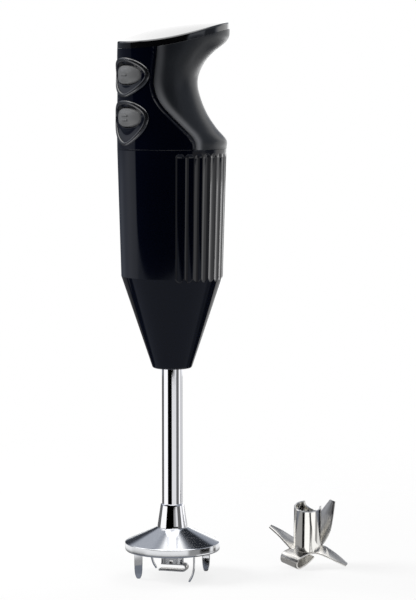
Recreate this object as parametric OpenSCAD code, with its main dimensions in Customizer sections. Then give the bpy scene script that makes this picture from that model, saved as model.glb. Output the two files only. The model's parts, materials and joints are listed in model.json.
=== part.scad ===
// Immersion blender with its fitted folded-strip attachment and a second, four-winged blade that stands beside it.
// Origin: on the drive axis at the plane of the guard's leg tips. +Z is up and the buttons face -Y.

/* [Guard] */
// Height of the guard's rim above the leg tips
leg_h = 16.2; // [12:0.1:24]
// Width of a leg
leg_w = 5; // [3.5:0.1:7]
// Thickness of a leg's sheet metal
leg_t = 1.2; // [0.8:0.1:2]
// How far each leg is swivelled out of the radial direction, in degrees
leg_swivel = 33; // [0:1:60]
// How far a leg's tip bends sideways
leg_bend = 3; // [0:0.1:5]
// Radius of the guard's rim
rim_r = 29.2; // [26:0.1:34]
// Height of the bell from its rim's edge to its neck
bell_h = 14.2; // [11:0.1:20]
// Height of the rolled rim
rim_roll = 6.6; // [4:0.1:8]
// Thickness of the bell's sheet metal
bell_t = 1.4; // [1:0.1:2]

/* [Collar] */
// Height of the polished collar above the bell's neck
collar_h = 14.6; // [10:0.1:22]
// Radius of the collar where it meets the bell
collar_r_low = 9.2; // [8.6:0.1:11]
// Radius of the collar at its top
collar_r_top = 7.1; // [6.9:0.1:8]

/* [Shaft tube] */
// Outside diameter of the shaft tube
tube_d = 12.7; // [12.4:0.1:13.4]
// Wall of the shaft tube
tube_wall = 1.1; // [0.8:0.1:1.5]
// Length of tube seen between the collar and the housing
tube_show = 84; // [60:1:140]

/* [Lower housing] */
// Radius of the cone's lower end
cone_r = 11.9; // [10:0.1:16]
// Height of the cone
cone_h = 56.5; // [50:0.5:70]
// Depth of solid plastic around the tube at the cone's end
cone_floor = 12; // [9:0.5:18]
// Radius of the barrel where it meets the cone
barrel_r_low = 31; // [30:0.1:34]
// Radius of the barrel at its top seam
barrel_r = 33.2; // [32.5:0.1:36]
// Height of the barrel from the cone to the seam
barrel_h = 77.5; // [76:0.5:95]
// Wall of the housings
wall = 2.6; // [2:0.1:3]
// Number of grip grooves around the back of the barrel
groove_count = 23; // [5:2:27]
// Angle from one groove to the next, in degrees
groove_pitch = 10.6; // [8:0.1:12]
// Radius of a groove's round section
groove_r = 1.3; // [0.8:0.1:1.6]
// Depth of a groove
groove_depth = 0.9; // [0.4:0.1:1.2]
// Smooth band left between the grooves' ends and the seam
groove_end = 2; // [1:0.5:6]

/* [Head] */
// Height of the front of the head, from the barrel's seam to the cap's seam
head_h = 59.8; // [56:0.2:75]
// How far the cap's seam rises from front to back
cap_rise = 12.3; // [8:0.1:16]
// Height of the cap's side band
cap_band = 4.3; // [3.6:0.1:6]
// Crown of the cap's top
cap_crown = 0.6; // [0.2:0.1:2]
// Thickness of the cap's top
cap_t = 2.2; // [1.6:0.1:3]
// Reach of the head in front of the axis
head_front = 34.4; // [33.8:0.1:36]
// Reach of the back of the neck behind the axis
neck_back = 13.2; // [11:0.1:18]
// Half the width of the neck
neck_half_w = 25.5; // [24:0.1:29]
// Reach of the overhanging lip behind the axis
lip_back = 38.2; // [34:0.1:42]
// Half the width of the head under the cap
head_half_w = 28.5; // [27:0.1:31]
// Gap of the seams between the outer shells
seam_gap = 0.3; // [0.1:0.05:0.5]

/* [Buttons] */
// Width of a button
button_w = 26.4; // [20:0.1:28]
// Height of a button
button_h = 11.5; // [9:0.1:13]
// Height of the lower button's centre above the barrel's seam
lower_button_up = 19; // [18:0.1:20.5]
// Distance between the two buttons' centres
button_spacing = 25.5; // [24:0.1:27]
// Travel of a button
button_travel = 1.5; // [1:0.1:2]
// Gap around a button in its opening
button_gap = 0.4; // [0.25:0.05:0.7]
// Half the width of the rim around a button
rim_half_w = 17; // [15.5:0.1:18]
// Radius of the rim's bead
rim_bead = 0.75; // [0.5:0.05:0.9]

/* [Cable inlet] */
// Bore of the cable inlet bush
inlet_d = 6; // [4.8:0.1:6.4]
// Outside diameter of the cable inlet bush
gland_d = 8.4; // [7.6:0.1:9]
// Length of the cable inlet bush
gland_l = 13; // [9:0.5:14]

/* [Motor] */
// Outside radius of the stator
stator_r = 26.4; // [26:0.1:27]
// Length of the stator's stack
stack_l = 34; // [26:0.5:36]
// Radius of the armature
armature_r = 13.1; // [11:0.1:14]
// Air gap between armature and poles
air_gap = 0.4; // [0.3:0.05:0.6]
// Radius of the armature shaft
motor_shaft_r = 3; // [2.5:0.1:3.4]
// Radius of the commutator
commutator_r = 8; // [7:0.1:9]
// Outside radius of a ball bearing
bearing_r = 8.5; // [8.3:0.1:9.5]
// Width of a ball bearing
bearing_w = 6; // [5:0.1:7]
// Radius of the cooling fan
fan_r = 20.5; // [16:0.1:21]

/* [Drive] */
// Radius of the drive shaft
drive_r = 2.5; // [2:0.1:3]
// Outside radius of an attachment's hub
hub_r = 6.9; // [6.6:0.1:7.2]
// Bore radius of an attachment's hub
hub_bore_r = 5.3; // [4.8:0.1:5.6]
// Height of the fitted attachment's hub
hub_h = 17.2; // [15:0.1:18]
// Width of the folded strip
strip_w = 6; // [4:0.1:8]
// Thickness of the attachments' sheet metal
strip_t = 1.2; // [0.8:0.1:1.6]
// Reach of the folded strip from the axis
strip_reach = 9.8; // [8:0.1:12]

/* [Loose blade] */
// Height of the loose blade's hub
blade_hub_h = 28; // [24:0.1:32]
// Outside radius of the loose blade's hub
blade_hub_r = 8; // [7.4:0.1:9]
// Radius of the wide mouth of the loose blade's hub
mouth_r = 6.9; // [6.2:0.1:7]
// Depth of the mouth
mouth_l = 7; // [5:0.1:10]
// Radius of the scallop in the mouth's rim
scallop_r = 5.9; // [4:0.1:6.5]
// Reach of the loose blade's wings from its own axis
blade_reach = 26.5; // [22:0.1:30]
// Width of a wing at its widest
wing_w = 10; // [7:0.1:11]
// Outside height of the wing that is folded back under itself
fold_h = 8.4; // [6:0.1:9]
// Lean of the loose blade from the vertical, in degrees
blade_lean = 16; // [0:0.5:20]
// Height of the loose blade's plate above the surface, on its own axis
blade_low = 11.95; // [11.95:0.05:14]
// Distance of the loose blade to the side (X) of the blender's axis
blade_x = 22; // [0:1:60]
// Distance of the loose blade behind (Y) the blender's axis
blade_y = 86; // [75:1:120]

/* [Hidden] */
$fn = 64;
fit = 0.05;      // running and sliding clearance, on the radius
press = 0.01;    // clearance of pieces pressed into each other, on the radius
rest_gap = 0.25; // clearance between pieces that lie against each other
cut = 1;         // how far a cutting tool runs past what it cuts

// Heights along the axis, from the leg tips up
z_neck = leg_h + bell_h;
z_collar = z_neck + collar_h;
z_cone = z_collar + tube_show;
z_floor = z_cone + cone_floor;
z_barrel = z_cone + cone_h;
z_seam = z_barrel + barrel_h;
z_cap = z_seam + head_h;
z_top = z_cap + cap_band + cap_rise;

tube_r = tube_d / 2;
tube_in = tube_r - tube_wall;

// Outside radius of the lower housing at height z
function cone_outer(z) = cone_r + (barrel_r_low - cone_r) * (z - z_cone) / cone_h;
function barrel_outer(z) = barrel_r_low + (barrel_r - barrel_r_low) * (z - z_barrel) / barrel_h;
function housing_outer(z) = z < z_barrel ? cone_outer(z) : barrel_outer(z);
function housing_inner(z) = housing_outer(z) - wall;
groove_tilt = atan((barrel_r - barrel_r_low) / barrel_h);
groove_run_out = 1.6; // how far a groove runs down past the cone's corner

// Motor levels: everything hangs from the upper bracket, which lies just under the barrel's seam
under_seam = 5;
brush_room = 22;
bracket_t = 4;
leg_root = 1;         // how far a bracket's legs run into its plate
bolt_angles = [45:90:315];
coil_end = 6;
fan_h = 6;
fan_gap = 1;
z_top_bracket = z_seam - under_seam;
z_stack = z_top_bracket - brush_room - stack_l;
z_fan = z_stack - coil_end - fan_gap - fan_h;
z_low_bracket = z_fan - fan_gap - bearing_w;
bracket_seat_r = 2.3;
bolt_circle = stator_r - bracket_seat_r + 0.5;
bolt_r = 1.5;
pole_r = armature_r + air_gap;
shoe_t = 2.9;
ring_t = 4.2;
coil_in = pole_r + shoe_t + rest_gap;
coil_out = stator_r - ring_t - rest_gap;
pole_half_angle = 26;
coil_half_angle = 48;
z_commutator = z_stack + stack_l + 8;
commutator_l = 11.5;
bearing_seat_t = 2;
ball_r = (bearing_r - motor_shaft_r) * 0.27;
ball_circle = (bearing_r + motor_shaft_r) / 2;
ball_count = 8;
low_mount_h = 4;
low_mount_w = 5;
mount_t = 2;

// Drive levels
z_shaft_low = 10;
z_nose_top = z_neck - 4.4;
hub_low = z_nose_top - 0.8 - hub_h;
nose_r = hub_bore_r - fit;
pin_r = 1.2;
z_pin = z_nose_top - 3.2;
notch_h = 4.4;
z_tube_low = z_neck + 2.6;
z_tube_top = z_floor + 9;
z_coupling = z_tube_top + 2;
coupling_l = 20;
coupling_r = 7;
coupling_wall = z_coupling + coupling_l / 2;
bush_l = 10;
seal_h = 3;

// Head: the lower curve of the back runs from the shoulder (1) in to the neck (0), the upper one out to the lip (1)
head_l = z_top - z_seam;
neck_at = 0.52;
back_low = [[0, 1], [0.065, 0.99], [0.156, 0.65], [0.273, 0.31], [0.416, 0.075], [neck_at, 0], [0.6, 0]];
back_high = [[0.45, 0], [neck_at, 0], [0.597, 0.064], [0.688, 0.24], [0.766, 0.52], [0.831, 0.848], [0.883, 0.985],
             [0.948, 1], [1.1, 1]];
side_low = [[0, 1], [0.08, 0.96], [0.17, 0.71], [0.273, 0.45], [0.4, 0.14], [neck_at, 0], [0.6, 0]];
side_high = [[0.45, 0], [neck_at, 0], [0.64, 0.17], [0.766, 0.6], [0.87, 0.93], [0.948, 1], [1.1, 1]];
// Course of the grip cover's front edge in side view: share of the head's height, and reach in front of the axis
grip_edge = [[0, 4], [0.06, 4.4], [0.108, 6.7], [0.169, 11.1], [0.247, 16.5], [0.325, 21], [0.41, 24], [0.506, 25.3],
             [0.578, 25.2], [0.697, 24.4], [0.81, 23.7], [1, 23.2]];

// Cubic curve through points [x, value], with slopes taken from the neighbours
function slope(points, i) =
    let (a = points[max(i - 1, 0)], b = points[min(i + 1, len(points) - 1)]) (b[1] - a[1]) / (b[0] - a[0]);
function segment(points, x, i = 0) = i >= len(points) - 2 || x < points[i + 1][0] ? i : segment(points, x, i + 1);
function curve(points, x) =
    let (i = segment(points, x), a = points[i], b = points[i + 1], w = b[0] - a[0],
         t = min(1, max(0, (x - a[0]) / w)))
    (2 * t * t * t - 3 * t * t + 1) * a[1] + (t * t * t - 2 * t * t + t) * w * slope(points, i)
    + (3 * t * t - 2 * t * t * t) * b[1] + (t * t * t - t * t) * w * slope(points, i + 1);
function ease(t) = let (c = min(1, max(0, t))) c * c * (3 - 2 * c);

// Section of the head at height z: an ellipse that reaches back_y(z) behind, front_y(z) in front, and half_w(z) aside
function share(z) = (z - z_seam) / head_l;
function back_y(z) =
    let (s = share(z))
    s < neck_at ? neck_back + (barrel_r - neck_back) * curve(back_low, s)
                : neck_back + (lip_back - neck_back) * curve(back_high, s);
function half_w(z) =
    let (s = share(z))
    s < neck_at ? neck_half_w + (barrel_r - neck_half_w) * curve(side_low, s)
                : neck_half_w + (head_half_w - neck_half_w) * curve(side_high, s);
front_full = 0.83;
function front_y(z) = barrel_r + (head_front - barrel_r) * min(1, max(0, share(z) / front_full));
function mid_y(z) = (back_y(z) - front_y(z)) / 2;
function half_l(z) = (back_y(z) + front_y(z)) / 2;
// Point of the head's surface at height z and angle t (-90 is the front), set inwards by inset
function head_point(z, t, inset = 0) =
    [(half_w(z) - inset) * cos(t), mid_y(z) + (half_l(z) - inset) * sin(t), z];
// Front of the head's surface at height z and x
function front_at(x, z) = mid_y(z) - half_l(z) * sqrt(1 - pow(x / half_w(z), 2));

// The cap's seam follows an S from a low front to a high back
seam_start = -38;
seam_run = 54;
function cap_seam(y) = z_cap + cap_rise * ease((y - seam_start) / seam_run);
function seam_at(t) = let (z = cap_seam(head_point(z_cap + cap_rise / 2, t)[1])) cap_seam(head_point(z, t)[1]);
// Angle of the grip cover's front edge at height z
function grip_angle(z) = asin((-curve(grip_edge, share(z)) - mid_y(z)) / half_l(z));
grip_corner_y = -24;
z_grip_corner = cap_seam(grip_corner_y);
half_seam = seam_gap / 2 / head_half_w * 180 / PI;

button_z = [z_seam + lower_button_up + button_spacing, z_seam + lower_button_up];
button_tip = 0.3;        // how far a button stands proud of the shell
button_bars = [[0], [-1.3, 1.3]];
bar_size = [6, 0.8];
rim_top = 9.2;           // reach of a rim above its button's centre
rim_tail = [12.2, 15.8]; // reach of each rim below its button's centre
rim_pinch = 0.3;         // share of its width that a rim loses at its lower point
rim_clear = 0.12;        // gap between a rim and the shell
flange_t = 1.5;
flange_rim = 1.2;
stem_r = 3;
flange_y = [for (z = button_z) front_at(button_w / 2 + flange_rim, z) + wall + 1.1];
plunger_r = 1.2;
plunger_show = button_travel + 0.5;
board_t = 1.6;
board_y = -12.6;
board_w = 34;
switch_depth = 6.9;
switch_y = board_y - switch_depth;
switch_w = 12.8;
switch_h = 9.6;

gland_z = z_cap + cap_rise - gland_d / 2 - 1;
gland_y = lip_back - 2;

// ---- shared shapes ----

function unit(v) = v / norm(v);

function centre_of(loop) = [for (k = [0:2]) [for (p = loop) p[k]] * [for (p = loop) 1 / len(loop)]];

// Closed solid through loops of points, each loop joined to the next; open ends are closed by fans
module skin(loops, closed = false) {
    rows = len(loops);
    cols = len(loops[0]);
    points = concat([for (loop = loops) each loop], closed ? [] : [centre_of(loops[0]), centre_of(loops[rows - 1])]);
    last = closed ? rows - 1 : rows - 2;
    sides = [for (i = [0:last], j = [0:cols - 1])
        let (a = i * cols + j, b = i * cols + (j + 1) % cols, c = (i + 1) % rows * cols + j,
             d = (i + 1) % rows * cols + (j + 1) % cols)
        each [[a, c, d], [a, d, b]]];
    ends = closed ? [] : [for (j = [0:cols - 1]) each [
        [rows * cols, j, (j + 1) % cols],
        [rows * cols + 1, (rows - 1) * cols + (j + 1) % cols, (rows - 1) * cols + j]]];
    polyhedron(points, concat(sides, ends), convexity = 6);
}

// Closed wall between an outer and an inner sheet of points, given as rows from the bottom up
module sheet_wall(outer, inner) {
    rows = len(outer);
    cols = len(outer[0]);
    count = rows * cols;
    points = concat([for (row = outer) each row], [for (row = inner) each row]);
    faces = concat(
        [for (i = [0:rows - 2], j = [0:cols - 2])
            let (a = i * cols + j, b = a + 1, c = a + cols, d = c + 1)
            each [[a, c, d], [a, d, b], [count + a, count + d, count + c], [count + a, count + b, count + d]]],
        [for (j = [0:cols - 2]) let (a = j, b = j + 1, c = (rows - 1) * cols + j, d = c + 1)
            each [[a, b, count + b], [a, count + b, count + a], [c, count + c, count + d], [c, count + d, d]]],
        [for (i = [0:rows - 2]) let (a = i * cols, c = a + cols, b = a + cols - 1, d = b + cols)
            each [[a, count + a, count + c], [a, count + c, c], [b, d, count + d], [b, count + d, count + b]]]);
    polyhedron(points, faces, convexity = 6);
}

// Round bead of radius r along a path; up is a direction that the path never follows
module bead(path, r, up, sides = 6, closed = false) {
    n = len(path);
    skin([for (i = [0:n - 1])
        let (before = path[closed ? (i + n - 1) % n : max(i - 1, 0)],
             after = path[closed ? (i + 1) % n : min(i + 1, n - 1)],
             t = unit(after - before), a = unit(cross(t, up)), b = cross(a, t))
        [for (j = [0:sides - 1]) path[i] + r * cos(360 * j / sides) * a - r * sin(360 * j / sides) * b]], closed);
}

// Bent strip of sheet metal: its path runs in the X-Z plane, and its width lies along Y
module bent_strip(path, widths, t) {
    n = len(path);
    skin([for (i = [0:n - 1])
        let (d = unit(path[min(i + 1, n - 1)] - path[max(i - 1, 0)]), normal = [-d[1], d[0]] * t / 2,
             low = path[i] - normal, high = path[i] + normal, w = widths[i] / 2)
        [[low[0], -w, low[1]], [low[0], w, low[1]], [high[0], w, high[1]], [high[0], -w, high[1]]]]);
}

// Ring between two radii, standing on z
module ring(r_out, r_in, z, h) {
    translate([0, 0, z]) rotate_extrude() translate([r_in, 0]) square([r_out - r_in, h]);
}

// Part of a ring, half_angle to each side of +Y
module arc(r_out, r_in, z, h, half_angle) {
    translate([0, 0, z]) rotate([0, 0, 90 - half_angle])
        rotate_extrude(angle = 2 * half_angle) translate([r_in, 0]) square([r_out - r_in, h]);
}

// Round helical spring along +Z
module coil_spring(r, wire_r, turns, length) {
    steps = 12 * turns;
    bead([for (i = [0:steps]) [r * cos(30 * i), r * sin(30 * i), wire_r + (length - 2 * wire_r) * i / steps]],
         wire_r, [0, 0, 1]);
}

// Oval prism that runs along +Y from y0 to y1, grown by grow
module oval_prism(z, grow, y0, y1) {
    a = button_w / 2 + grow;
    b = button_h / 2 + grow;
    translate([0, y0, z]) rotate([-90, 0, 0]) linear_extrude(y1 - y0)
        polygon([for (i = [0:31]) let (t = i * 360 / 32, c = cos(t), s = sin(t))
            [a * sign(c) * pow(abs(c), 0.9), b * sign(s) * pow(abs(s), 0.8)]]);
}

// ---- outer shells ----

module lower_housing() {
    color("#101215") difference() {
        rotate_extrude($fn = 128) polygon([
            [tube_r + fit, z_cone], [cone_r - 1, z_cone], [cone_r, z_cone + 1], [barrel_r_low, z_barrel],
            [barrel_r, z_seam], [barrel_r - wall, z_seam], [barrel_r_low - wall, z_barrel],
            [housing_inner(z_floor), z_floor], [tube_r + fit, z_floor]]);
        for (i = [0:groove_count - 1])
            rotate([0, 0, (i - (groove_count - 1) / 2) * groove_pitch])
                translate([0, barrel_r_low + groove_r - groove_depth, z_barrel])
                    rotate([-groove_tilt, 0, 0]) {
                        translate([0, 0, -groove_run_out])
                            cylinder(r = groove_r, h = barrel_h - groove_end + groove_run_out, $fn = 24);
                        translate([0, 0, barrel_h - groove_end]) sphere(r = groove_r, $fn = 24);
                    }
    }
}

shell_rows = 17;
shell_cols = 24;
cap_cols = 48;

// Rows of points of the head's surface between two edges: angle from middle - span to middle + span
function head_rows(middle, to_edge, inset) =
    [for (i = [0:shell_rows])
        let (v = i / shell_rows, edge = grip_angle(z_seam + v * (z_grip_corner - z_seam)) + to_edge)
        [for (j = [0:shell_cols])
            let (s = 2 * j / shell_cols - 1, t = middle + s * (middle < 0 ? edge - middle : middle - edge),
                 z = z_seam + v * (seam_at(t) - z_seam))
            head_point(z, t, inset)]];

module upper_housing() {
    color("#0c0d10") difference() {
        sheet_wall(head_rows(-90, -half_seam, 0), head_rows(-90, -half_seam, wall));
        for (z = button_z) oval_prism(z, button_gap, -head_front - cut, board_y);
    }
}

module rear_grip_cover() {
    color("#2a2e34") difference() {
        sheet_wall(head_rows(90, half_seam, 0), head_rows(90, half_seam, wall));
        translate([0, 0, gland_z]) rotate([-90, 0, 0]) cylinder(d = gland_d + 2 * fit, h = lip_back + cut);
    }
}

// One ring of the cap: set in by inset, lifted by rise above the seam line, and scaled by size across the top
function cap_ring(inset, rise, size = 1) =
    [for (i = [0:cap_cols - 1])
        let (t = i * 360 / cap_cols, z = seam_at(t) + rise, p = head_point(min(z, z_top), t, inset), m = mid_y(z_top),
             x = p[0] * size, y = m + (p[1] - m) * size)
        [x, y, cap_seam(y) + rise + (size < 1 ? cap_crown * (1 - size * size) : 0)]];

module top_cap() {
    edge = 1.2;
    color("#0c0d10") skin(concat(
        [for (size = [0.04, 0.4, 0.7, 0.92]) cap_ring(wall, cap_band - cap_t, size)],
        [cap_ring(wall, seam_gap), cap_ring(0, seam_gap), cap_ring(0, cap_band - edge),
         cap_ring(edge * 0.3, cap_band - edge * 0.3), cap_ring(edge, cap_band)],
        [for (size = [0.92, 0.75, 0.55, 0.3, 0.04]) cap_ring(edge, cap_band, size)]));
}

// Teardrop around a button: round above, and drawn to a soft point below
function teardrop(z, tail) =
    [for (a = [0:10:350])
        let (s = sin(a), x = rim_half_w * cos(a) * (1 - rim_pinch * pow(max(0, -s), 2)),
             h = z + (s > 0 ? rim_top : tail) * s)
        head_point(h, -acos(x / half_w(h)), -rim_bead - rim_clear)];

module button_surround() {
    color("#202226") for (i = [0, 1])
        bead(teardrop(button_z[i], rim_tail[i]), rim_bead, [0, 1, 0], 6, true);
}

module cable_gland() {
    color("#17181a") translate([0, gland_y, gland_z]) rotate([90, 0, 0]) difference() {
        union() {
            cylinder(d = gland_d, h = gland_l);
            translate([0, 0, gland_l - 1.5]) cylinder(d = gland_d + 1.6, h = 1.5);
        }
        translate([0, 0, -cut]) cylinder(d = inlet_d, h = gland_l + 2 * cut);
    }
}

// ---- buttons and electrics ----

module button(i) {
    z = button_z[i];
    front = front_at(0, z) - button_tip;
    bend = pow(half_w(z), 2) / half_l(z);
    color("#5c5e63") {
        intersection() {
            oval_prism(z, 0, front - cut, flange_y[i] + 0.01);
            translate([0, front + bend, z - button_h]) cylinder(r = bend, h = 2 * button_h, $fn = 96);
        }
        oval_prism(z, flange_rim, flange_y[i], flange_y[i] + flange_t);
        translate([0, flange_y[i] + flange_t - 0.01, z]) rotate([-90, 0, 0])
            cylinder(r = stem_r, h = switch_y - plunger_show - flange_y[i] - flange_t);
        for (up = button_bars[i])
            translate([-bar_size[0] / 2, front - 0.25, z + up - bar_size[1] / 2]) cube([bar_size[0], 1, bar_size[1]]);
    }
}

module button_spring(i) {
    start = flange_y[i] + flange_t + rest_gap / 2;
    color("#c8c8c4") translate([0, start, button_z[i]]) rotate([-90, 0, 0])
        coil_spring(stem_r + 1.3, 0.4, 4, switch_y - start - rest_gap / 2);
}

module switch_plunger(i) {
    color("#d8d3c4") translate([0, switch_y - plunger_show, button_z[i]]) rotate([-90, 0, 0])
        cylinder(r = plunger_r, h = plunger_show + 2);
}

module microswitch(i) {
    color("#1f2a44") difference() {
        union() {
            translate([-switch_w / 2, switch_y, button_z[i] - switch_h / 2])
                cube([switch_w, switch_depth - board_t / 2, switch_h]);
            for (x = [-4, 0, 4]) translate([x - 0.4, board_y - board_t / 2 - 0.5, button_z[i] - 0.4])
                cube([0.8, 0.5 + board_t / 2, 0.8]);
        }
        translate([0, switch_y - cut, button_z[i]]) rotate([-90, 0, 0])
            cylinder(r = plunger_r + fit, h = cut + 4.5);
    }
}

module circuit_board() {
    low = z_top_bracket + bracket_t + rest_gap;
    color("#1d5b33") translate([-board_w / 2, board_y, low]) cube([board_w, board_t, button_z[0] + 7 - low]);
}

module suppression_capacitor() {
    color("#d8a531") translate([-9, board_y + board_t, button_z[1] + 4]) cube([18, 9, 13]);
}

module terminal_block() {
    size = [16, 10, 9];
    color("#e6e3da") translate([-8, board_y + board_t, button_z[0] - 4]) difference() {
        cube(size);
        for (x = [4, 12]) translate([x, 5, 2]) cylinder(r = 1.8, h = size[2], $fn = 32);
    }
}

// ---- motor ----

module stator_core() {
    color("#8f9296") difference() {
        union() {
            ring(stator_r, stator_r - ring_t, z_stack, stack_l);
            for (side = [0, 180]) rotate([0, 0, side]) {
                arc(stator_r - ring_t + 0.5, pole_r + shoe_t - 0.5, z_stack, stack_l, pole_half_angle - 1);
                arc(pole_r + shoe_t, pole_r, z_stack, stack_l, coil_half_angle + 4);
            }
        }
        for (a = bolt_angles) rotate([0, 0, a]) translate([bolt_circle, 0, z_stack - cut])
            cylinder(r = bolt_r + fit, h = stack_l + 2 * cut);
    }
}

module field_windings() {
    color("#a5561c") for (side = [0, 180]) rotate([0, 0, side]) difference() {
        arc(coil_out, coil_in, z_stack - coil_end, stack_l + 2 * coil_end, coil_half_angle);
        arc(coil_out + cut, coil_in - cut, z_stack - rest_gap, stack_l + 2 * rest_gap, pole_half_angle);
    }
}

// Bearing bracket: a plate with air windows, a bearing seat, and four legs round the long screws
module bearing_bracket(z, r, leg_z, leg_l) {
    difference() {
        union() {
            translate([0, 0, z]) cylinder(r = r, h = bracket_t);
            translate([0, 0, z]) cylinder(r = bearing_r + bearing_seat_t, h = bearing_w + 0.5);
            for (a = bolt_angles) rotate([0, 0, a]) translate([bolt_circle, 0, leg_z])
                cylinder(r = bracket_seat_r, h = leg_l);
        }
        translate([0, 0, z - cut]) cylinder(r = bearing_r + press, h = bearing_w + 2 * cut);
        for (a = bolt_angles) rotate([0, 0, a]) translate([bolt_circle, 0, min(z, leg_z) - cut])
            cylinder(r = bolt_r + fit, h = leg_l + bracket_t + 2 * cut);
        for (a = [0:90:270]) rotate([0, 0, a]) translate([(bearing_r + bearing_seat_t + r) / 2, 0, z - cut])
            cylinder(r = 4.6, h = bracket_t + 2 * cut);
    }
}

upper_bracket_r = housing_inner(z_top_bracket) - mount_t - 2 * rest_gap;
lower_bracket_r = housing_inner(z_low_bracket) - rest_gap;

post = 4;
post_h = 6;

module upper_bearing_bracket() {
    color("#b9bcc0") union() {
        bearing_bracket(z_top_bracket, upper_bracket_r, z_stack + stack_l,
                        z_top_bracket + leg_root - z_stack - stack_l);
        for (x = [-12, 12]) translate([x - post / 2, board_y - post / 2, z_top_bracket + bracket_t - 0.01])
            difference() {
                cube([post, board_t + post, post_h]);
                translate([-cut, post / 2 - fit, rest_gap]) cube([post + 2 * cut, board_t + 2 * fit, post_h]);
            }
    }
}

module lower_bearing_bracket() {
    leg_z = z_low_bracket + bracket_t - leg_root;
    color("#b9bcc0") bearing_bracket(z_low_bracket, lower_bracket_r, leg_z, z_stack - leg_z);
}

// Where the screws stand close to the housing, the mount is cut back round their shanks
module upper_motor_mount() {
    color("#1b1b1b") difference() {
        rotate_extrude() polygon([
            [upper_bracket_r + rest_gap, z_top_bracket], [housing_inner(z_top_bracket) - rest_gap, z_top_bracket],
            [housing_inner(z_seam) - rest_gap, z_seam - 1], [upper_bracket_r + rest_gap, z_seam - 1]]);
        for (a = bolt_angles) rotate([0, 0, a]) translate([bolt_circle, 0, z_top_bracket - cut])
            cylinder(r = bolt_r + rest_gap, h = under_seam + 2 * cut);
    }
}

module lower_motor_mount() {
    low = z_low_bracket - low_mount_h;
    color("#1b1b1b") rotate_extrude() polygon([
        [housing_inner(low) - low_mount_w, low], [housing_inner(low) - rest_gap, low],
        [housing_inner(z_low_bracket) - rest_gap, z_low_bracket], [housing_inner(low) - low_mount_w, z_low_bracket]]);
}

screw_head = [1.2, 2];   // how far a screw's head stands out round its shank, and the head's height
screw_slot = [0.8, 6];

module motor_screws() {
    top = z_top_bracket + bracket_t;
    color("#cfd2d4") for (a = bolt_angles) rotate([0, 0, a]) translate([bolt_circle, 0, 0]) difference() {
        union() {
            translate([0, 0, z_low_bracket]) cylinder(r = bolt_r, h = top - z_low_bracket + 0.5, $fn = 32);
            translate([0, 0, top]) cylinder(r = bolt_r + screw_head[0], h = screw_head[1], $fn = 32);
        }
        translate([-screw_slot[0] / 2, -screw_slot[1] / 2, top + screw_head[1] / 2])
            cube([screw_slot[0], screw_slot[1], screw_head[1]]);
    }
}

brush_z = z_commutator + commutator_l / 2;
brush_half = [3, 2.6];
brush_l = 7;
holder_t = 1;
holder_x = commutator_r + 3;
holder_l = 13;
holder_tab = [2, 5];     // where a holder's tab starts along it, and the tab's length

module brush_holders() {
    side = brush_half[0] + fit;
    color("#c9a24a") for (a = [0, 180]) rotate([0, 0, a]) difference() {
        union() {
            translate([holder_x, -side - holder_t, brush_z - brush_half[1] - fit - holder_t])
                cube([holder_l, 2 * (side + holder_t), 2 * (brush_half[1] + fit + holder_t)]);
            translate([holder_x + holder_tab[0], -side, brush_z])
                cube([holder_tab[1], 2 * side, z_top_bracket - rest_gap - brush_z]);
        }
        translate([holder_x - cut, -side, brush_z - brush_half[1] - fit])
            cube([holder_l, 2 * side, 2 * (brush_half[1] + fit)]);
    }
}

module carbon_brushes() {
    color("#2b2b2d") for (a = [0, 180]) rotate([0, 0, a]) difference() {
        translate([0, -brush_half[0], brush_z - brush_half[1]])
            cube([commutator_r + fit + brush_l, 2 * brush_half[0], 2 * brush_half[1]]);
        translate([0, 0, brush_z - 2 * brush_half[1]]) cylinder(r = commutator_r + fit, h = 4 * brush_half[1]);
    }
}

module brush_springs() {
    start = commutator_r + fit + brush_l + rest_gap / 2;
    color("#c8c8c4") for (a = [0, 180]) rotate([0, 0, a]) translate([start, 0, brush_z]) rotate([0, 90, 0])
        coil_spring(1.9, 0.3, 4, holder_x + holder_l - cut - start - rest_gap / 2);
}

module bearing_ring(z, outer) {
    middle = bearing_w / 2;
    half = (bearing_r - motor_shaft_r) * 0.22;
    difference() {
        if (outer) ring(bearing_r, ball_circle + half, z, bearing_w);
        else ring(ball_circle - half, motor_shaft_r + press, z, bearing_w);
        translate([0, 0, z + middle]) rotate_extrude() translate([ball_circle, 0]) circle(r = ball_r + fit, $fn = 32);
    }
}

module upper_bearing_outer_ring() { color("#c4c7ca") bearing_ring(z_top_bracket, true); }
module lower_bearing_outer_ring() { color("#c4c7ca") bearing_ring(z_low_bracket, true); }
module upper_bearing_inner_ring() { color("#c4c7ca") bearing_ring(z_top_bracket, false); }
module lower_bearing_inner_ring() { color("#c4c7ca") bearing_ring(z_low_bracket, false); }

// Balls held by a thin cage ring that passes through them
module bearing_balls(z) {
    color("#d9dbdd") {
        for (i = [0:ball_count - 1]) rotate([0, 0, i * 360 / ball_count])
            translate([ball_circle, 0, z + bearing_w / 2]) sphere(r = ball_r, $fn = 32);
        ring(ball_circle + 0.4, ball_circle - 0.4, z + bearing_w / 2 - 0.5, 1);
    }
}

module armature_shaft() {
    color("#b4b7ba") translate([0, 0, coupling_wall + 1])
        cylinder(r = motor_shaft_r, h = z_top_bracket + bearing_w + 2 - coupling_wall - 1);
}

slot_count = 12;
slot_r = 1.9;
slot_circle = armature_r - slot_r - 0.9;

module armature_core() {
    color("#7d8084") difference() {
        ring(armature_r, motor_shaft_r + press, z_stack, stack_l);
        for (i = [0:slot_count - 1]) rotate([0, 0, i * 360 / slot_count]) {
            translate([slot_circle, 0, z_stack - cut]) cylinder(r = slot_r, h = stack_l + 2 * cut, $fn = 32);
            translate([slot_circle, -0.6, z_stack - cut]) cube([slot_r + 3, 1.2, stack_l + 2 * cut]);
        }
    }
}

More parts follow.
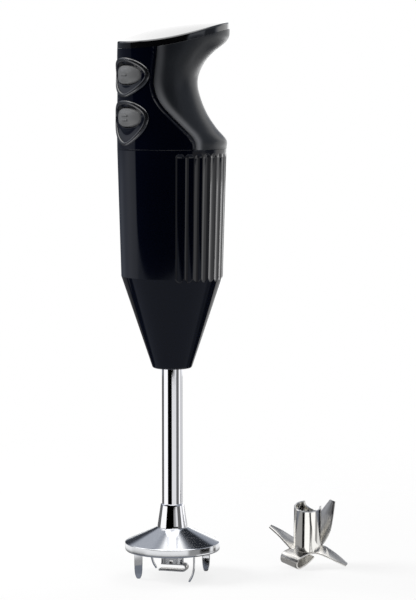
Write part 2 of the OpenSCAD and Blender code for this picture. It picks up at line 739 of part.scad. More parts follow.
module armature_windings() {
    end = 5;
    color("#a5561c") union() {
        for (i = [0:slot_count - 1]) rotate([0, 0, i * 360 / slot_count])
            translate([slot_circle, 0, z_stack - end]) cylinder(r = slot_r - 0.1, h = stack_l + 2 * end, $fn = 32);
        for (z = [z_stack - end, z_stack + stack_l + rest_gap])
            ring(armature_r - 0.8, motor_shaft_r + 1.2, z, end - rest_gap);
    }
}

module commutator() {
    color("#b87333") difference() {
        ring(commutator_r, motor_shaft_r + press, z_commutator, commutator_l);
        for (i = [0:11]) rotate([0, 0, i * 30]) translate([commutator_r - 0.7, -0.25, z_commutator - cut])
            cube([cut, 0.5, commutator_l + 2 * cut]);
    }
}

module cooling_fan() {
    hub = 6;
    color("#23262a") {
        ring(hub, motor_shaft_r + press, z_fan, fan_h);
        ring(fan_r, hub - 0.5, z_fan + fan_h - 1.2, 1.2);
        for (i = [0:10]) rotate([0, 0, i * 360 / 11]) translate([hub - 0.5, 0, z_fan]) rotate([0, 0, 18])
            translate([0, -0.6, 0]) cube([fan_r - hub - 1, 1.2, fan_h - 0.5]);
    }
}

// ---- shaft ----

module shaft_coupling() {
    color("#33363a") difference() {
        translate([0, 0, z_coupling]) cylinder(r = coupling_r, h = coupling_l);
        translate([0, 0, z_coupling - cut]) cylinder(r = drive_r + press, h = coupling_wall - z_coupling + cut);
        translate([0, 0, coupling_wall]) cylinder(r = motor_shaft_r + press, h = coupling_l);
        for (a = [0:60:300]) rotate([0, 0, a]) translate([coupling_r, 0, z_coupling + 3])
            cylinder(r = 1, h = coupling_l - 6, $fn = 24);
    }
}

module shaft_tube() { color("#dfe2e5") ring(tube_r, tube_in, z_tube_low, z_tube_top - z_tube_low); }

module tube_flange() {
    color("#b9bcc0") difference() {
        translate([0, 0, z_floor]) cylinder(r = tube_r + 3.6, h = 4, $fn = 6);
        translate([0, 0, z_floor - cut]) cylinder(r = tube_r + fit, h = 4 + 2 * cut);
    }
}

module shaft_bush(z) { color("#9a7b4f") ring(tube_in - press, drive_r + fit, z, bush_l); }
module upper_shaft_bush() { shaft_bush(z_tube_top - bush_l - 1); }
module lower_shaft_bush() { shaft_bush(z_tube_low + 1); }

module shaft_seal() {
    color("#1d1d1f") ring(tube_in - fit, drive_r + fit, z_tube_low - seal_h - 0.4, seal_h);
}

module guard_collar() {
    low = z_neck - 1.8;
    color("#d4d7da") difference() {
        rotate_extrude($fn = 96) polygon([
            [tube_in, low], [collar_r_low - 1.4, low], [collar_r_low - 1.4, z_neck], [collar_r_low, z_neck],
            [collar_r_low - 0.15, z_neck + 1], [collar_r_top + 0.1, z_collar - 0.6], [collar_r_top - 0.3, z_collar],
            [tube_in, z_collar]]);
        translate([0, 0, z_tube_low]) cylinder(r = tube_r + press, h = collar_h + cut);
    }
}

// Bell of the guard: a shallow cone from the collar to a rolled rim, open below
module guard_bell() {
    low = leg_h;
    roll = [4.4, 4];
    middle = [rim_r - roll[0], low + roll[1] / 2];
    knee = [rim_r - 3.4, low + rim_roll];
    outside = [for (a = [60:-15:-30]) middle + [roll[0] * cos(a), roll[1] * sin(a)]];
    inside = [for (a = [-30:15:60]) middle + [(roll[0] - bell_t) * cos(a), (roll[1] - bell_t) * sin(a)]];
    bore = collar_r_low - 1.4 + press;
    color("#c3c6ca") rotate_extrude($fn = 96) polygon(concat(
        [[bore, z_neck], [collar_r_low + 0.4, z_neck - 0.1], [collar_r_low + 1.2, z_neck - 0.7], knee],
        outside, inside, [[knee[0] - 0.3, knee[1] - bell_t - 0.2], [collar_r_low + 0.8, z_neck - 0.7 - bell_t],
        [bore, z_neck - 0.3 - bell_t]]));
}

// Four legs: upright strips inside the rim, each swivelled and bent sideways at its tip
module guard_legs() {
    color("#c3c6ca") for (a = [0:90:270]) rotate([0, 0, a]) translate([rim_r - 4.6, 0, 0])
        rotate([0, 0, 90 - leg_swivel]) bent_strip(
            [[0, leg_h + 1.4], [0, leg_h * 0.6], [-leg_bend * 0.12, leg_h * 0.4], [-leg_bend * 0.45, leg_h * 0.2],
             [-leg_bend * 0.95, leg_h * 0.03], [-leg_bend * 0.95, 0]],
            [leg_w, leg_w, leg_w * 0.96, leg_w * 0.8, leg_w * 0.5, leg_w * 0.45], leg_t);
}

module drive_shaft() {
    color("#b4b7ba") translate([0, 0, z_shaft_low]) cylinder(r = drive_r, h = coupling_wall - z_shaft_low);
}

module drive_nose() {
    color("#a9acb0") difference() {
        ring(nose_r, drive_r + press, z_shaft_low + 1, z_nose_top - z_shaft_low - 1);
        translate([-nose_r - cut, 0, z_pin]) rotate([0, 90, 0])
            cylinder(r = pin_r + press, h = 2 * (nose_r + cut));
    }
}

// The pin is in two halves, one each side of the shaft, because the shaft runs through it
module drive_pin() {
    color("#d9dbdd") for (a = [0, 180]) rotate([0, 0, a]) translate([drive_r + fit, 0, z_pin]) rotate([0, 90, 0])
        cylinder(r = pin_r, h = hub_r - drive_r - fit - 0.1, $fn = 32);
}

// ---- attachments ----

strip_turn = 57;
strip_low = 3.4;

module attachment_hub() {
    color("#d4d7da") translate([0, 0, hub_low]) difference() {
        ring(hub_r, hub_bore_r, 0, hub_h);
        translate([-hub_r - cut, -pin_r - rest_gap, hub_h - notch_h])
            cube([2 * (hub_r + cut), 2 * (pin_r + rest_gap), notch_h + cut]);
        for (a = [20:60:320]) rotate([0, 0, a]) translate([hub_bore_r - cut, -1.1, -cut])
            cube([hub_r, 2.2, 2.4 + cut]);
    }
}

module attachment_strip() {
    top = hub_low - strip_t / 2;
    fold = (top - strip_low) / 2;
    middle = (top + strip_low) / 2;
    out = strip_reach - fold - strip_t / 2;
    color("#d4d7da") rotate([0, 0, strip_turn]) bent_strip(
        concat([[-hub_r + 0.4, top]], [for (a = [90:-30:-90]) [out + fold * cos(a), middle + fold * sin(a)]],
               [[-strip_reach + 2.4, strip_low], [-strip_reach + 1.6, strip_low - 0.4]]),
        [for (i = [0:9]) i < 9 ? strip_w : strip_w * 0.8], strip_t);
}

// The loose blade leans on its folded wing and on the tip of its low one
blade_turn = -33;
scallop_angle = 145;
module lean() {
    translate([blade_x, blade_y, blade_low]) rotate([0, blade_lean, blade_turn]) children();
}

module loose_blade_hub() {
    color("#d4d7da") lean() difference() {
        cylinder(r = blade_hub_r, h = blade_hub_h);
        translate([0, 0, -cut]) cylinder(r = hub_bore_r, h = blade_hub_h + 2 * cut);
        translate([0, 0, blade_hub_h - mouth_l]) cylinder(r = mouth_r, h = mouth_l + cut);
        translate([0, 0, blade_hub_h]) rotate([0, 90, scallop_angle]) cylinder(r = scallop_r, h = blade_hub_r + cut);
    }
}

// Wings of the loose blade, each as an angle, a course of [reach, height from the plate] from the hub outwards, and
// its widths as shares of wing_w: one folded back under itself, a raised wedge, a low one, and a nearly upright leaf
plate_skin = 0.15;
fold_r = (fold_h - strip_t) / 2;
fold_x = blade_reach * 0.5;
wings = [
    [-44, concat([[0, 0], [9.5, 0]], [for (a = [90:-30:-90]) [fold_x + fold_r * cos(a), fold_r * (sin(a) - 1)]],
                 [[7, -fold_r * 1.85], [1.5, -fold_r * 1.6]]), [for (i = [0:10]) i < 9 ? 1.1 : 1.3 - 0.1 * (i - 7)]],
    [-112, [[0, 0], [8.5, 0.4], [12, 2.6], [18, 6.6], [blade_reach * 0.94, 10.2]], [1, 1, 0.85, 0.6, 0.25]],
    [68, [[0, 0], [9.5, 0], [14, -1.4], [20, -4], [blade_reach, -7.2]], [1.15, 1.15, 1, 0.75, 0.4]],
    [132, [[0, 0], [8.2, 0.4], [10.4, 3], [13.4, 9], [17, 17], [22, 25.5]], [0.8, 0.85, 0.95, 1.1, 0.9, 0.3]]];

module loose_blade_wings() {
    middle = -plate_skin - strip_t / 2;
    root = hub_bore_r + 0.6;
    color("#c3c6ca") lean() union() {
        ring(blade_hub_r, hub_bore_r, -strip_t - 2 * plate_skin, strip_t + 2 * plate_skin);
        for (wing = wings) rotate([0, 0, wing[0]])
            bent_strip([for (p = wing[1]) [p[0] == 0 ? root : p[0], middle + p[1]]], wing_w * wing[2], strip_t);
    }
}

lower_housing();
upper_housing();
rear_grip_cover();
top_cap();
button_surround();
cable_gland();
circuit_board();
microswitch(0);  // upper_microswitch
microswitch(1);  // lower_microswitch
suppression_capacitor();
terminal_block();
stator_core();
field_windings();
upper_bearing_bracket();
lower_bearing_bracket();
upper_motor_mount();
lower_motor_mount();
motor_screws();
brush_holders();
carbon_brushes();
brush_springs();
upper_bearing_outer_ring();
lower_bearing_outer_ring();
shaft_tube();
tube_flange();
upper_shaft_bush();
lower_shaft_bush();
shaft_seal();
guard_collar();
guard_bell();
guard_legs();
armature_shaft();
armature_core();
armature_windings();
commutator();
cooling_fan();
upper_bearing_inner_ring();
lower_bearing_inner_ring();
shaft_coupling();
drive_shaft();
drive_nose();
drive_pin();
bearing_balls(z_top_bracket);  // upper_bearing_balls
bearing_balls(z_low_bracket);  // lower_bearing_balls
button(0);  // upper_button
button_spring(0);  // upper_button_spring
switch_plunger(0);  // upper_switch_plunger
button(1);  // lower_button
button_spring(1);  // lower_button_spring
switch_plunger(1);  // lower_switch_plunger
attachment_hub();
attachment_strip();
loose_blade_hub();
loose_blade_wings();
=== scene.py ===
import json
import math

import bmesh
import bpy
import numpy as np
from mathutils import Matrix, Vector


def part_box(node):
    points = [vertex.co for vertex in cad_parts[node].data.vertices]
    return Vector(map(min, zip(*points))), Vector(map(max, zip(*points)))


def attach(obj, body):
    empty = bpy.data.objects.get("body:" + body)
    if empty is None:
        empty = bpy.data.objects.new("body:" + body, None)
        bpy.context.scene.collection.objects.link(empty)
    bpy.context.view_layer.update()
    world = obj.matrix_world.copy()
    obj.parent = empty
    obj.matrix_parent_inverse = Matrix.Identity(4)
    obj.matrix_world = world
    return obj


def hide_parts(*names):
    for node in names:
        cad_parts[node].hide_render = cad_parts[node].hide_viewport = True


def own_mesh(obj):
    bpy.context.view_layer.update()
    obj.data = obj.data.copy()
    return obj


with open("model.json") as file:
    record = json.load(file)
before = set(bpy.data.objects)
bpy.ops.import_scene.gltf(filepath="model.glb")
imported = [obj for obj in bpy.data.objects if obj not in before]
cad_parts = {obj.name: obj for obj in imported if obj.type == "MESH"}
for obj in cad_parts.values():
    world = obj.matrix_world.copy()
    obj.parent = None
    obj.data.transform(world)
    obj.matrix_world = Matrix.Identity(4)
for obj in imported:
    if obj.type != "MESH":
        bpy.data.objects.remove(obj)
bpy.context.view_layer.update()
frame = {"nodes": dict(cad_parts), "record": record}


# ---- Camera ----
# A long lens a little above the top of the blender, looking slightly down at it from its front right.
# It aims between the blender and the loose blade, so both stand in the upright frame.

view_turn, view_distance, eye_height = math.radians(57), 1.5, 0.320
aim_height, aim_aside, lens = 0.1705, 0.0219, 148.2
towards = np.array([math.sin(view_turn), -math.cos(view_turn), 0.0])
rightwards = np.array([math.cos(view_turn), math.sin(view_turn), 0.0])
aim = aim_aside * rightwards + [0, 0, aim_height]
eye = aim_aside * rightwards + view_distance * towards + [0, 0, eye_height]


def put(name, data):
    """A new object in the scene that shows a mesh, a lamp or a camera."""
    thing = bpy.data.objects.new(name, data)
    bpy.context.scene.collection.objects.link(thing)
    return thing


camera = put("camera", bpy.data.cameras.new("camera"))
bpy.context.scene.camera = camera
camera.location = eye
camera.rotation_euler = Vector(aim - eye).to_track_quat("-Z", "Y").to_euler()
camera.data.lens = lens


# ---- Studio ----
# A pale round floor that fades out into the white room, and three soft lamps. What shines sees the room as
# panels: white overhead and behind, grey screens aside, and a dark opening all round the camera.

room = bpy.data.worlds.new("studio")
bpy.context.scene.world = room
bpy.context.scene.view_settings.view_transform = "Standard"
room.use_nodes = True
room.cycles.sampling_method = "NONE"


def feed(tree, socket, value):
    """Gives a socket its value, a constant or another node's output."""
    if isinstance(value, bpy.types.NodeSocket):
        tree.links.new(value, socket)
    else:
        socket.default_value = value


def add(tree, kind, inputs, **settings):
    """A new shader node, with its settings made and its inputs fed."""
    node = tree.nodes.new("ShaderNode" + kind)
    for name, value in settings.items():
        setattr(node, name, value)
    for socket, value in inputs.items():
        feed(tree, node.inputs[socket], value)
    return node


def calc(tree, operation, first, second=0.5):
    """The output of one Math node; each input is a number or another node's output."""
    return add(tree, "Math", {0: first, 1: second}, operation=operation).outputs[0]


def between(tree, value, start, end, low, high):
    """A value that runs smoothly from low, at start, to high, at end."""
    ends = {"Value": value, "From Min": start, "From Max": end, "To Min": low, "To Max": high}
    return add(tree, "MapRange", ends, interpolation_type="SMOOTHSTEP").outputs["Result"]


def part_along(tree, vector, direction):
    """How far a vector reaches along a fixed direction."""
    return add(tree, "VectorMath", {0: vector, 1: direction}, operation="DOT_PRODUCT").outputs["Value"]


def blend(tree, colour, other, share):
    """A colour mixed with another one by a share from 0 to 1."""
    return add(tree, "Mix", {"A": colour, "B": other, "Factor": share}, data_type="RGBA").outputs["Result"]


def bearing_of(tree, vector):
    """Bearing of a vector round the upright axis, in radians: 0 is towards the camera, and right is
    positive."""
    return calc(tree, "ARCTAN2", part_along(tree, vector, rightwards), part_along(tree, vector, towards))


degree = math.pi / 180
all_the_way = (-180, 180)
white = (1, 1, 1, 1)


def patched(tree, bearing, height, level, patches):
    """A brightness over directions. Each patch gives its value, left and right bearing and the half width
    of its soft edges, then its lowest and highest place if it doesn't reach all the way, all in degrees.
    Its value replaces what came before by the product of its edges' smooth steps."""
    for value, left, right, soft, *heights in patches:
        mask = 1.0
        for angle, start, end in ((bearing, left, right), (height, *(heights or all_the_way))):
            for edge, inner, outer in ((start, 0.0, 1.0), (end, 1.0, 0.0)):
                if abs(edge) < 180:
                    step = between(tree, angle, (edge - soft) * degree, (edge + soft) * degree, inner, outer)
                    mask = calc(tree, "MULTIPLY", mask, step)
        level = calc(tree, "ADD", calc(tree, "MULTIPLY", calc(tree, "SUBTRACT", 1.0, mask), level),
                     calc(tree, "MULTIPLY", mask, value))
    return level


tree = room.node_tree
ray = add(tree, "TexCoord", {}).outputs["Generated"]
bearing = bearing_of(tree, ray)
height = calc(tree, "ARCSINE", part_along(tree, ray, (0, 0, 1)))
room_level = 0.3
room_patches = [
    (0.5, -180, -82, 6, -12, 9), (0.26, -180, -114, 12, -12, 9), (0.1, -180, -146, 12, -12, 9),
    (0.12, 40, 104, 6, -12, 9), (0.5, 48, 76, 1.5, -4, 9), (1.0, 104, 146, 8, -12, 9),
    (0.5, -150, -84, 6, 10, 32), (0.1, -180, -82, 1, -3.4, 9), (2.2, -150, -84, 4, 36, 58),
    (0.3, 84, 118, 6, 10, 50), (1.1, 118, 148, 8, 6, 34), (2.2, -180, 180, 2.5, 60, 180),
    (0.24, -180, 180, 0.6, -180, -9), (0.3, -180, 180, 6, -180, -55), (2.4, -70, 70, 2, 50, 180),
    (0.1, 100, 180, 6, -60, -24), (0.02, 112, 180, 2, -27, -9.3), (0.02, -180, -112, 2, -27, -9.3),
    (0.55, -172, -146, 4, 28, 54), (0.05, -172, -146, 5, 3, 26), (0.03, 146, 170, 3, 31, 55),
    (0.4, 148, 170, 3, 10, 28), (1.7, 167, 180, 3, 44, 180), (1.7, -180, -167, 3, 44, 180),
    (1.12, 169, 180, 2, -9, 27), (1.12, -180, -172, 2, -9, 27), (1.3, 146, 180, 4, -9, 9)]
level = patched(tree, bearing, height, room_level, room_patches)

# The dark opening round the camera is an oval with long straight sides, taller than it is wide
window_middle, window_half, window_round, squeeze, window_soft = (-18.4, 18.4), (64.4, 26.85), 58, 24, 2
reach = 0.0
for angle, middle, half, scale in zip((bearing, height), window_middle, window_half, (1, squeeze)):
    off = calc(tree, "ABSOLUTE", calc(tree, "SUBTRACT", angle, middle * degree))
    past = calc(tree, "MAXIMUM", calc(tree, "SUBTRACT", off, (half - window_round / scale) * degree), 0.0)
    reach = calc(tree, "ADD", reach, calc(tree, "POWER", calc(tree, "MULTIPLY", past, scale), 2))
screens = between(tree, calc(tree, "SQRT", reach), (window_round - window_soft) * degree,
                  (window_round + window_soft) * degree, 0.0, 1.0)
reflected = calc(tree, "MULTIPLY", screens, level)

# Reflections see the panels, the camera sees white, and all else gets an even fill
soft_fill, cool_shade = 0.3, (0.84, 0.94, 1.16, 1)
path = add(tree, "LightPath", {}).outputs
shiny = calc(tree, "MAXIMUM", path["Is Glossy Ray"], path["Is Transmission Ray"])
more = calc(tree, "MULTIPLY", shiny, calc(tree, "SUBTRACT", reflected, soft_fill))
strength = calc(tree, "ADD", more, soft_fill)
seen = calc(tree, "MULTIPLY", path["Is Camera Ray"], 1 - soft_fill)
tinted = calc(tree, "MAXIMUM", reflected, calc(tree, "SUBTRACT", 1.0, shiny))
background = tree.nodes["Background"].inputs
feed(tree, background["Strength"], calc(tree, "ADD", strength, seen))
feed(tree, background["Color"], blend(tree, cool_shade, white, tinted))


def card(name, mesh, patches, level, centre=(0, 0, 0)):
    """A glowing screen that only reflections see: its brightness is a pattern of patches round the upright
    line through centre, with their heights in millimetres."""
    screen = put(name, mesh)
    screen.visible_camera = screen.visible_diffuse = screen.visible_shadow = False
    material = bpy.data.materials.new(name)
    mesh.materials.append(material)
    material.use_nodes = True
    tree = material.node_tree
    tree.nodes.clear()
    place = add(tree, "TexCoord", {}).outputs["Object"]
    point = add(tree, "VectorMath", {0: place, 1: centre}, operation="SUBTRACT").outputs[0]
    height = calc(tree, "MULTIPLY", part_along(tree, point, (0, 0, 1)), 1000 * degree)
    shine = patched(tree, bearing_of(tree, point), height, level, patches)
    glow = add(tree, "Emission", {"Color": white, "Strength": shine}).outputs[0]
    add(tree, "OutputMaterial", {"Surface": glow})


def band(name, radius, low, high, start=-180, end=180, steps=96):
    """A part of an open cylinder round the axis, in metres, between two bearings."""
    a = np.radians(np.linspace(start, end, steps + 1))[:, None]
    across = radius * (np.cos(a) * towards + np.sin(a) * rightwards)
    i = np.arange(steps)
    mesh = bpy.data.meshes.new(name)
    mesh.from_pydata(np.concatenate([across + [0, 0, low], across + [0, 0, high]]), [],
                     np.stack([i, i + 1, i + steps + 2, i + steps + 1], 1))
    return mesh


stripes = [(1.15, -104, -50, 1.5), (0.0, -50, -4, 1.5), (0.85, -4, 46, 2),
           (0.14, 46, 78, 2), (1.15, 78, 97, 2), (0.68, 97, 166, 3)]
collar_stripes = [(0.0, -180, 12, 3), (0.35, 12, 28, 4), (0.85, 28, 180, 5)]
card("tube_screen", band("tube_screen", 1.3, -0.28, -0.045), stripes, 0.12)
card("collar_screen", band("collar_screen", 0.45, 0.066, 0.093, -50, 46), collar_stripes, 0.0)
card("collar_left", band("collar_left", 0.45, 0.0, 0.093, -125, -50), stripes, 0.12)
card("collar_right", band("collar_right", 0.45, 0.0, 0.093, 46, 115), stripes, 0.12)
card("side_screen", band("side_screen", 1.3, -0.03, 0.15, 44, 176),
     [(0.85, 66, 112, 5), (1.3, 100, 180, 8), (2.2, 128, 180, 10)], 0.3)
card("rim_screen", band("rim_screen", 0.1, -0.02, 0.0115),
     [(1.15, -150, 34, 4), (0.0, 62, 92, 3), (1.15, 92, 165, 3),
      (0.4, -180, 180, 2, -180, -1), (0.15, -100, -60, 8, -180, -1)], 0.35)
hub_place, hub_disc_r, disc_sides = np.array([0.022, 0.086, -0.005]), 0.08, 48
a = np.linspace(0, 2 * np.pi, disc_sides, endpoint=False)
disc = bpy.data.meshes.new("hub_screen")
disc_points = hub_place + hub_disc_r * np.stack([np.cos(a), np.sin(a), 0 * a], 1)
disc.from_pydata(disc_points, [], [list(range(disc_sides))])
card("hub_screen", disc,
     [(0.0, -46, -26, 2), (1.25, -24, 18, 2), (0.15, 18, 24, 1.5),
      (1.25, 26, 66, 2), (0.35, 72, 86, 2), (0.9, 90, 150, 4)], 0.38, hub_place)

lit_point = np.array([0, 0, 0.17])
for name, turn, lift, distance, size, watts in (
        ("key", -98, 30, 1.3, 0.8, 18), ("fill", 40, 20, 1.6, 1.0, 4), ("back", 150, 48, 1.4, 0.9, 7)):
    lamp = put(name, bpy.data.lights.new(name, "AREA"))
    lamp.data.shape, lamp.data.size, lamp.data.energy = "DISK", size, watts
    turn, lift = math.radians(turn), math.radians(lift)
    out = math.cos(lift) * (math.cos(turn) * towards + math.sin(turn) * rightwards)
    lamp.location = lit_point + distance * (out + [0, 0, math.sin(lift)])
    lamp.rotation_euler = (Vector(lit_point) - lamp.location).to_track_quat("-Z", "Y").to_euler()
    lamp.visible_glossy = lamp.visible_camera = False

floor_reach, fade_start, fade_end, floor_aside, floor_glow = 0.62, 0.14, 0.589, 0.03, 0.8
bpy.ops.mesh.primitive_circle_add(vertices=96, radius=floor_reach, fill_type="NGON",
                                  location=tuple(floor_aside * rightwards))
floor = bpy.context.object
floor.name = "floor"
paper = bpy.data.materials.new("floor_paper")
floor.data.materials.append(paper)
paper.use_nodes = True
tree = paper.node_tree
tree.nodes.clear()
where = add(tree, "TexCoord", {}).outputs["Object"]
from_middle = add(tree, "VectorMath", {0: where}, operation="LENGTH").outputs["Value"]
fade = between(tree, from_middle, fade_start, fade_end, 0.0, 1.0)
hidden = calc(tree, "MAXIMUM", fade, add(tree, "LightPath", {}).outputs["Is Glossy Ray"])
card_white = add(tree, "BsdfDiffuse", {"Color": (0.9, 0.9, 0.9, 1)}).outputs[0]
glow = add(tree, "Emission", {"Color": white}).outputs[0]
clear = add(tree, "BsdfTransparent", {}).outputs[0]
lit = add(tree, "MixShader", {"Fac": floor_glow, 1: card_white, 2: glow}).outputs[0]
faded = add(tree, "MixShader", {"Fac": hidden, 1: lit, 2: clear}).outputs[0]
add(tree, "OutputMaterial", {"Surface": faded})


# ---- Guard bell ----
# A shallow bell of stainless sheet, spun to shape and open below: it flares straight from the collar to a
# crisp corner and an upright lip. The lathe leaves fine rings on it, which turn the light into soft fans.


def box(node):
    """Lowest and highest corner of a CAD piece, in millimetres."""
    low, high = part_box(node)
    return np.array(low) * 1000, np.array(high) * 1000


def solid(name, material, *sheets, crease=38):
    """A closed, smooth mesh object of one material from grids of points in millimetres, rows by columns by
    three. Neighbours in a grid are joined by quads, points that coincide are welded, and all faces are
    turned so that the volume is positive."""
    points, faces, count = [], [], 0
    for sheet in sheets:
        rows, columns = sheet.shape[:2]
        index = count + np.arange(rows * columns).reshape(rows, columns)
        quads = np.stack([index[:-1, :-1], index[:-1, 1:], index[1:, 1:], index[1:, :-1]], -1)
        faces.append(quads.reshape(-1, 4))
        points.append(sheet.reshape(-1, 3))
        count += rows * columns
    mesh = bpy.data.meshes.new(name)
    mesh.from_pydata(np.concatenate(points) * 0.001, [], np.concatenate(faces))
    work = bmesh.new()
    work.from_mesh(mesh)
    bmesh.ops.remove_doubles(work, verts=work.verts, dist=2e-7)
    bmesh.ops.recalc_face_normals(work, faces=work.faces)
    if work.calc_volume(signed=True) < 0:
        bmesh.ops.reverse_faces(work, faces=work.faces)
    work.to_mesh(mesh)
    work.free()
    mesh.shade_smooth()
    mesh.set_sharp_from_angle(angle=math.radians(crease))
    mesh.materials.append(material)
    return put(name, mesh)


def rounded(corners, radius, steps=4):
    """A closed outline with each corner replaced by a quadratic curve that starts and ends radius away from
    it, or at a third of the shorter side; the first point comes again at the end."""
    corners = np.array(corners, float)
    before, after = np.roll(corners, 1, 0), np.roll(corners, -1, 0)
    t = np.linspace(0, 1, steps + 1)[:, None]
    curves = []
    for a, p, b in zip(before, corners, after):
        reach_a, reach_b = np.linalg.norm(a - p), np.linalg.norm(b - p)
        cut = min(radius, reach_a / 3, reach_b / 3)
        start, end = p + (a - p) * cut / reach_a, p + (b - p) * cut / reach_b
        hold = [p + (q - p) * min(2.5 * cut / reach, 0.45) for q, reach in ((a, reach_a), (b, reach_b))]
        bend = (1 - t) ** 2 * start + 2 * t * (1 - t) * p + t ** 2 * end
        curves.append(np.vstack([hold[0], bend, hold[1]]))
    outline = np.concatenate(curves)
    return np.vstack([outline, outline[:1]])


def turned(outline, steps=144):
    """The grid of a lathe-turned piece: each point [radius, height] of a closed outline goes round the Z
    axis."""
    a = np.linspace(0, 2 * np.pi, steps + 1)
    a[-1] = 0
    r, z = outline[:, 0][None, :], outline[:, 1][None, :]
    return np.stack([r * np.cos(a)[:, None], r * np.sin(a)[:, None], z + 0 * a[:, None]], -1)


def new_group(name, **values):
    """An empty shader node group for a surface finish, with the nodes' sockets that hold what is given and
    what comes out: it takes a position and the named values, and gives a roughness, a normal and a mask."""
    group = bpy.data.node_groups.new(name, "ShaderNodeTree")
    group.interface.new_socket("Position", in_out="INPUT", socket_type="NodeSocketVector")
    for label, value in values.items():
        socket = group.interface.new_socket(label, in_out="INPUT", socket_type="NodeSocketFloat")
        socket.default_value = value
    for socket, kind in (("Roughness", "Float"), ("Normal", "Vector"), ("Mask", "Float")):
        group.interface.new_socket(socket, in_out="OUTPUT", socket_type="NodeSocket" + kind)
    return group, group.nodes.new("NodeGroupInput").outputs, group.nodes.new("NodeGroupOutput").inputs


def noise(tree, vector, scale, detail=2.0):
    """A Noise node's value over a vector."""
    return add(tree, "TexNoise", {"Vector": vector, "Scale": scale, "Detail": detail}).outputs["Fac"]


def give(group, given, result, relief, strength, uneven, mask):
    """Sets what a group gives: a relief from 0 to 1 is worth its depth in metres, and uneven is added to its
    roughness."""
    bumps = {"Strength": strength, "Height": relief, "Distance": given["Depth"]}
    feed(group, result["Roughness"], calc(group, "ADD", given["Roughness"], uneven))
    feed(group, result["Normal"], add(group, "Bump", bumps).outputs["Normal"])
    feed(group, result["Mask"], mask)


def tool_marks(group, given, result, marks, blotch_scale, blotch_share):
    """The finish that a tool leaves: its marks raise the surface, and with slow blotches they change its
    roughness."""
    blotch = noise(group, given["Position"], blotch_scale)
    uneven = calc(group, "MULTIPLY", calc(group, "SUBTRACT", marks, 0.5), given["Spread"])
    uneven = calc(group, "ADD", uneven, calc(group, "MULTIPLY", blotch, blotch_share))
    give(group, given, result, marks, 0.6, uneven, marks)


# Lathe marks: noise over distance from the axis and height, nearly constant round the axis
turned_marks, given, result = new_group(
    "turned_marks", Lines=3000.0, Depth=0.000004, Roughness=0.25, Spread=0.1)
x, y, z = add(turned_marks, "SeparateXYZ", {0: given["Position"]}).outputs
from_axis = calc(turned_marks, "ADD", calc(turned_marks, "POWER", x, 2), calc(turned_marks, "POWER", y, 2))
from_axis = calc(turned_marks, "SQRT", from_axis)
drift = calc(turned_marks, "MULTIPLY", calc(turned_marks, "ADD", x, y), 0.004)
across = add(turned_marks, "CombineXYZ", {0: from_axis, 1: z, 2: drift}).outputs[0]
rings = noise(turned_marks, across, given["Lines"], 3)
tool_marks(turned_marks, given, result, rings, 90.0, 0.04)


def finish(name, group, colour, metallic, tint, settings, move=None, **constants):
    """A material whose Roughness and Normal come from a node group on Object coordinates, while what is the
    same all over is set on the shader's own sockets. tint is a second colour, or four fifths of the first,
    mixed in by the group's mask, and move shifts the place that the pattern is taken from."""
    material = bpy.data.materials.new(name)
    material.use_nodes = True
    tree = material.node_tree
    shader = tree.nodes["Principled BSDF"].inputs
    shader["Metallic"].default_value = metallic
    for socket, value in constants.items():
        shader[socket.replace("_", " ")].default_value = value
    position = add(tree, "TexCoord", {}).outputs["Object"]
    if move is not None:
        position = add(tree, "Mapping", {"Vector": position, "Location": move}).outputs["Vector"]
    marks = tree.nodes.new("ShaderNodeGroup")
    marks.node_tree = group
    for socket, value in {**settings, "Position": position}.items():
        feed(tree, marks.inputs[socket], value)
    feed(tree, shader["Roughness"], marks.outputs["Roughness"])
    feed(tree, shader["Normal"], marks.outputs["Normal"])
    darker = tint or [0.8 * c for c in colour]
    feed(tree, shader["Base Color"], blend(tree, (*colour, 1), (*darker, 1), marks.outputs["Mask"]))
    return material


satin_steel = finish("satin_steel", turned_marks, (0.72, 0.73, 0.75), 1.0, (0.62, 0.63, 0.65),
                     {"Lines": 2600.0, "Depth": 0.000001, "Roughness": 0.11, "Spread": 0.09}, Anisotropic=0.4)

low, high = box("guard_bell")
rim_low, neck, rim_r = low[2], high[2], high[0]
sheet, lip_h, corner_in, corner_up, corner_h = 1.4, 4.6, 0.4, 0.5, 4.88
collar_low, collar_high = box("guard_collar")
neck_r = collar_high[0]
lip_top = rim_low + lip_h
shoulder = np.array([rim_r - corner_in, lip_top + corner_up])
flare_high = np.array([neck_r + 1.2, neck - 0.7])
s = np.linspace(0, 1, 15)[:, None]
flare = (1 - s) * flare_high + s * shoulder
t = np.linspace(0, 1, 8)[1:, None]
corner = (1 - t) ** 2 * shoulder + 2 * t * (1 - t) * [rim_r, rim_low + corner_h] + t ** 2 * [rim_r, lip_top]
lip = [rim_r, lip_top] - np.array([[0, 0.25], [0, 0.6]])
rolled = [rim_r, rim_low] + np.array([[-0.02, 1.5], [-0.05, 0.9], [-0.2, 0.35], [-0.5, 0.08], [-0.8, 0],
                                      [-sheet, 0.1], [-sheet, 0.6], [-sheet, lip_h - 1]])
seat = np.array([neck_r - 1.39, neck])
outline = np.vstack([seat, [neck_r + 0.4, neck - 0.1], flare, corner, lip, rolled,
                     shoulder - [0.5, sheet * 1.1], (flare[1:-1] - [0.15, sheet])[::-1],
                     flare_high - [0.4, sheet], seat - [0, 0.3 + sheet]])
guard_bell = solid("spun_bell", satin_steel, turned(np.vstack([outline, outline[:1]]), 192), crease=50)
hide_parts("guard_bell")
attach(guard_bell, "housing")


# ---- Guard legs ----
# Four legs of the same sheet, spot-welded inside the rim. Each is swivelled out of the radial direction,
# narrows to a rounded tip, and bends sideways there, so the guard stands clear and food is drawn in between.


